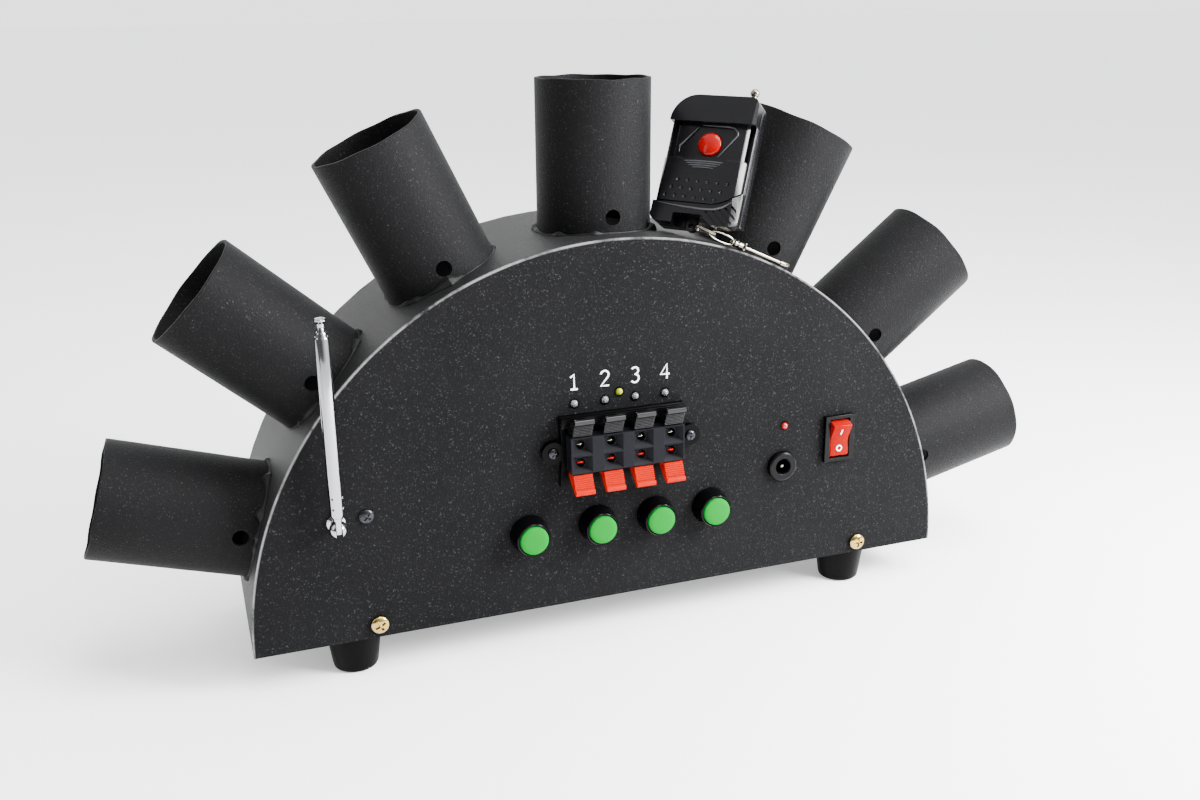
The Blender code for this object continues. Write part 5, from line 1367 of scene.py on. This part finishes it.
def shackle():
    """Round-cornered wire loop that the split ring goes through."""
    points = []
    long, short = SHACKLE_HALF
    for i in range(SHACKLE_STEPS):
        turn = 2 * math.pi * i / SHACKLE_STEPS
        x, y = math.cos(turn), math.sin(turn)
        squarer = 0.72 if x > 0 else 1.0
        points.append((
            SHACKLE_CENTRE + long * math.copysign(abs(x) ** squarer, x),
            short * math.copysign(abs(y) ** 0.8, y), 0.0))
    return pipe(points, 0.52 * MM, True)


def hook_body():
    """Shackle, swivel neck with its ball, and the hook's round-ended loop with the gate's pin."""
    neck = turned([(r * MM, NECK_START + z * MM) for r, z in NECK], 32)
    moved(neck, Matrix.Rotation(QUARTER, 4, "Y"))
    stud = ball(1.0 * MM, (NECK_START - 0.5 * MM, 0.0, 0.0), 16)
    line = [(SHOULDER + x, z) for x, z in in_mm((-2.1, 0.0), (1.2, -0.8), (2.4, -2.5))]
    line.append((SHOULDER + 3.6 * MM, -HOOK_HALF))
    line += [(HOOK_BEND + x, z) for x, z in arc(HOOK_HALF, -QUARTER, QUARTER, 14)]
    line.append((HOOK_BEND - 2.0 * MM, HOOK_HALF))
    loop = pipe([(x, 0.0, z) for x, z in line], 1.15 * MM, False, None, 6)
    x, z = SHOULDER + 0.8 * MM, 1.2 * MM
    pin = softened(rod(0.9 * MM, (x, -1.8 * MM, z), (x, 1.8 * MM, z), 20), 0.25 * MM)
    return gathered(shackle(), neck, stud, loop, pin)


# Marks

DIGIT = 0.83 * MM
DIGIT_STROKE = 0.46 * DIGIT
DIGIT_ROW = 101.4 * MM


def strokes():
    """Lines of the four figures about their middle, 8 units tall."""
    two = arc(2.1, math.radians(165), math.radians(-38), 14, (0.0, 1.9))
    three = arc(1.85, math.radians(145), -QUARTER, 12, (-0.1, 2.15))
    three += arc(2.15, QUARTER, math.radians(-145), 14, (-0.1, -1.85))
    return (
        [[(-1.7, 2.4), (0.2, 3.9), (0.2, -3.9)], [(-1.7, -3.9), (2.0, -3.9)]],
        [two + [(-2.1, -3.9), (2.2, -3.9)]],
        [three],
        [[(1.1, -4.0), (1.1, 3.9), (-2.5, -1.5), (2.6, -1.5)]])


def digits():
    """White numbers over the four channels, in flat strokes of one width."""
    for number, x, figure in zip(CHANNELS, terminal_columns(), strokes()):
        lines = [
            pipe([(a * DIGIT, b * DIGIT, 0.0) for a, b in line], DIGIT_STROKE) for line in figure]
        mesh = moved(gathered(*lines), Matrix.Diagonal((1.0, 1.0, 0.06, 1.0)))
        place = FACE @ Matrix.Translation((x, DIGIT_ROW, 0.01 * MM))
        piece(f"channel_number_{number}", mesh, "print", "case", place, ())


# Stage

LIT_SIDE = (0.72, 0.58, 0.38)
SURROUNDINGS = (0.20, 2.4)
FLOOR_RADIUS = 60.0
FLOOR_DROP = 0.2 * MM
SKY_COLOUR = (0.985, 0.99, 1.0, 1.0)
SKY_FADE = (-0.75, 0.25)
# Place, point aimed at, size and power of each light
LIGHTS = {
    "right_light": ((0.50, -0.38, 0.42), (0.10, 0.0, 0.1), (0.30, 0.34), 27.0),
    "top_light": ((0.30, -0.30, 1.45), (0.0, 0.0, 0.1), (1.0, 0.8), 34.0),
    "left_light": ((-1.3, -0.2, 0.7), (0.0, 0.0, 0.1), (0.5, 0.8), 3.0)}


def camera():
    """Camera at the photograph's angle."""
    data = bpy.data.cameras.new("camera")
    data.lens = CAMERA_LENS
    data.sensor_width = SENSOR_WIDTH
    data.sensor_fit = "HORIZONTAL"
    data.clip_start = 0.01
    data.clip_end = 50.0
    made = bpy.data.objects.new("camera", data)
    bpy.context.scene.collection.objects.link(made)
    back = [-v for v in CAMERA_FORWARD]
    turn = Matrix((CAMERA_RIGHT, CAMERA_UP, back)).transposed().to_4x4()
    made.matrix_world = Matrix.Translation(CAMERA_PLACE) @ turn
    bpy.context.scene.camera = made


def softbox(name, place, aim, size, power):
    """One flat studio light aimed at a point."""
    data = bpy.data.lights.new(name, "AREA")
    data.shape = "RECTANGLE"
    data.size, data.size_y = size
    data.energy = power
    made = bpy.data.objects.new(name, data)
    bpy.context.scene.collection.objects.link(made)
    made.location = place
    made.rotation_mode = "QUATERNION"
    made.rotation_quaternion = (Vector(aim) - Vector(place)).to_track_quat("-Z", "Y")


def surroundings():
    """Plain surroundings, bright on the lit side and dim on the other."""
    world = bpy.data.worlds.new("studio")
    world.use_nodes = True
    bpy.context.scene.world = world
    around = Nodes(world.node_tree)
    heading = around.node("ShaderNodeTexCoord", output="Generated")
    facing = around.node(
        "ShaderNodeVectorMath", {"operation": "DOT_PRODUCT"}, {0: heading, 1: LIT_SIDE},
        output="Value")
    dim, bright = SURROUNDINGS
    strength = dim + around.between(facing, *SKY_FADE) * (bright - dim)
    background = world.node_tree.nodes["Background"]
    background.inputs["Color"].default_value = SKY_COLOUR
    world.node_tree.links.new(strength.socket, background.inputs["Strength"])


def studio():
    """Pale floor, surroundings and soft lights."""
    work = bmesh.new()
    bmesh.ops.create_circle(work, cap_ends=True, segments=96, radius=FLOOR_RADIUS)
    mesh = bpy.data.meshes.new("floor")
    work.to_mesh(mesh)
    work.free()
    mesh.materials.append(LOOKS["floor"])
    floor = bpy.data.objects.new("floor", mesh)
    floor.location = (0.0, 0.0, -FLOOR_DROP)
    bpy.context.scene.collection.objects.link(floor)
    surroundings()
    for name, setting in LIGHTS.items():
        softbox(name, *setting)


camera()
front_sheet()
rear_sheet()
rim_sheet()
dress("bottom_plate", "panel_coat")
barrels()
feet()
case_screws()
terminal()
lights()
buttons()
inlet()
switch()
antenna()
remote_case()
remote_front()
slide_cover()
remote_key()
remote_whip()
chain()
digits()
dress("battery", "battery_wrap")
dress("battery_strap", "zinc")
dress("control_board", "board_green")
studio()
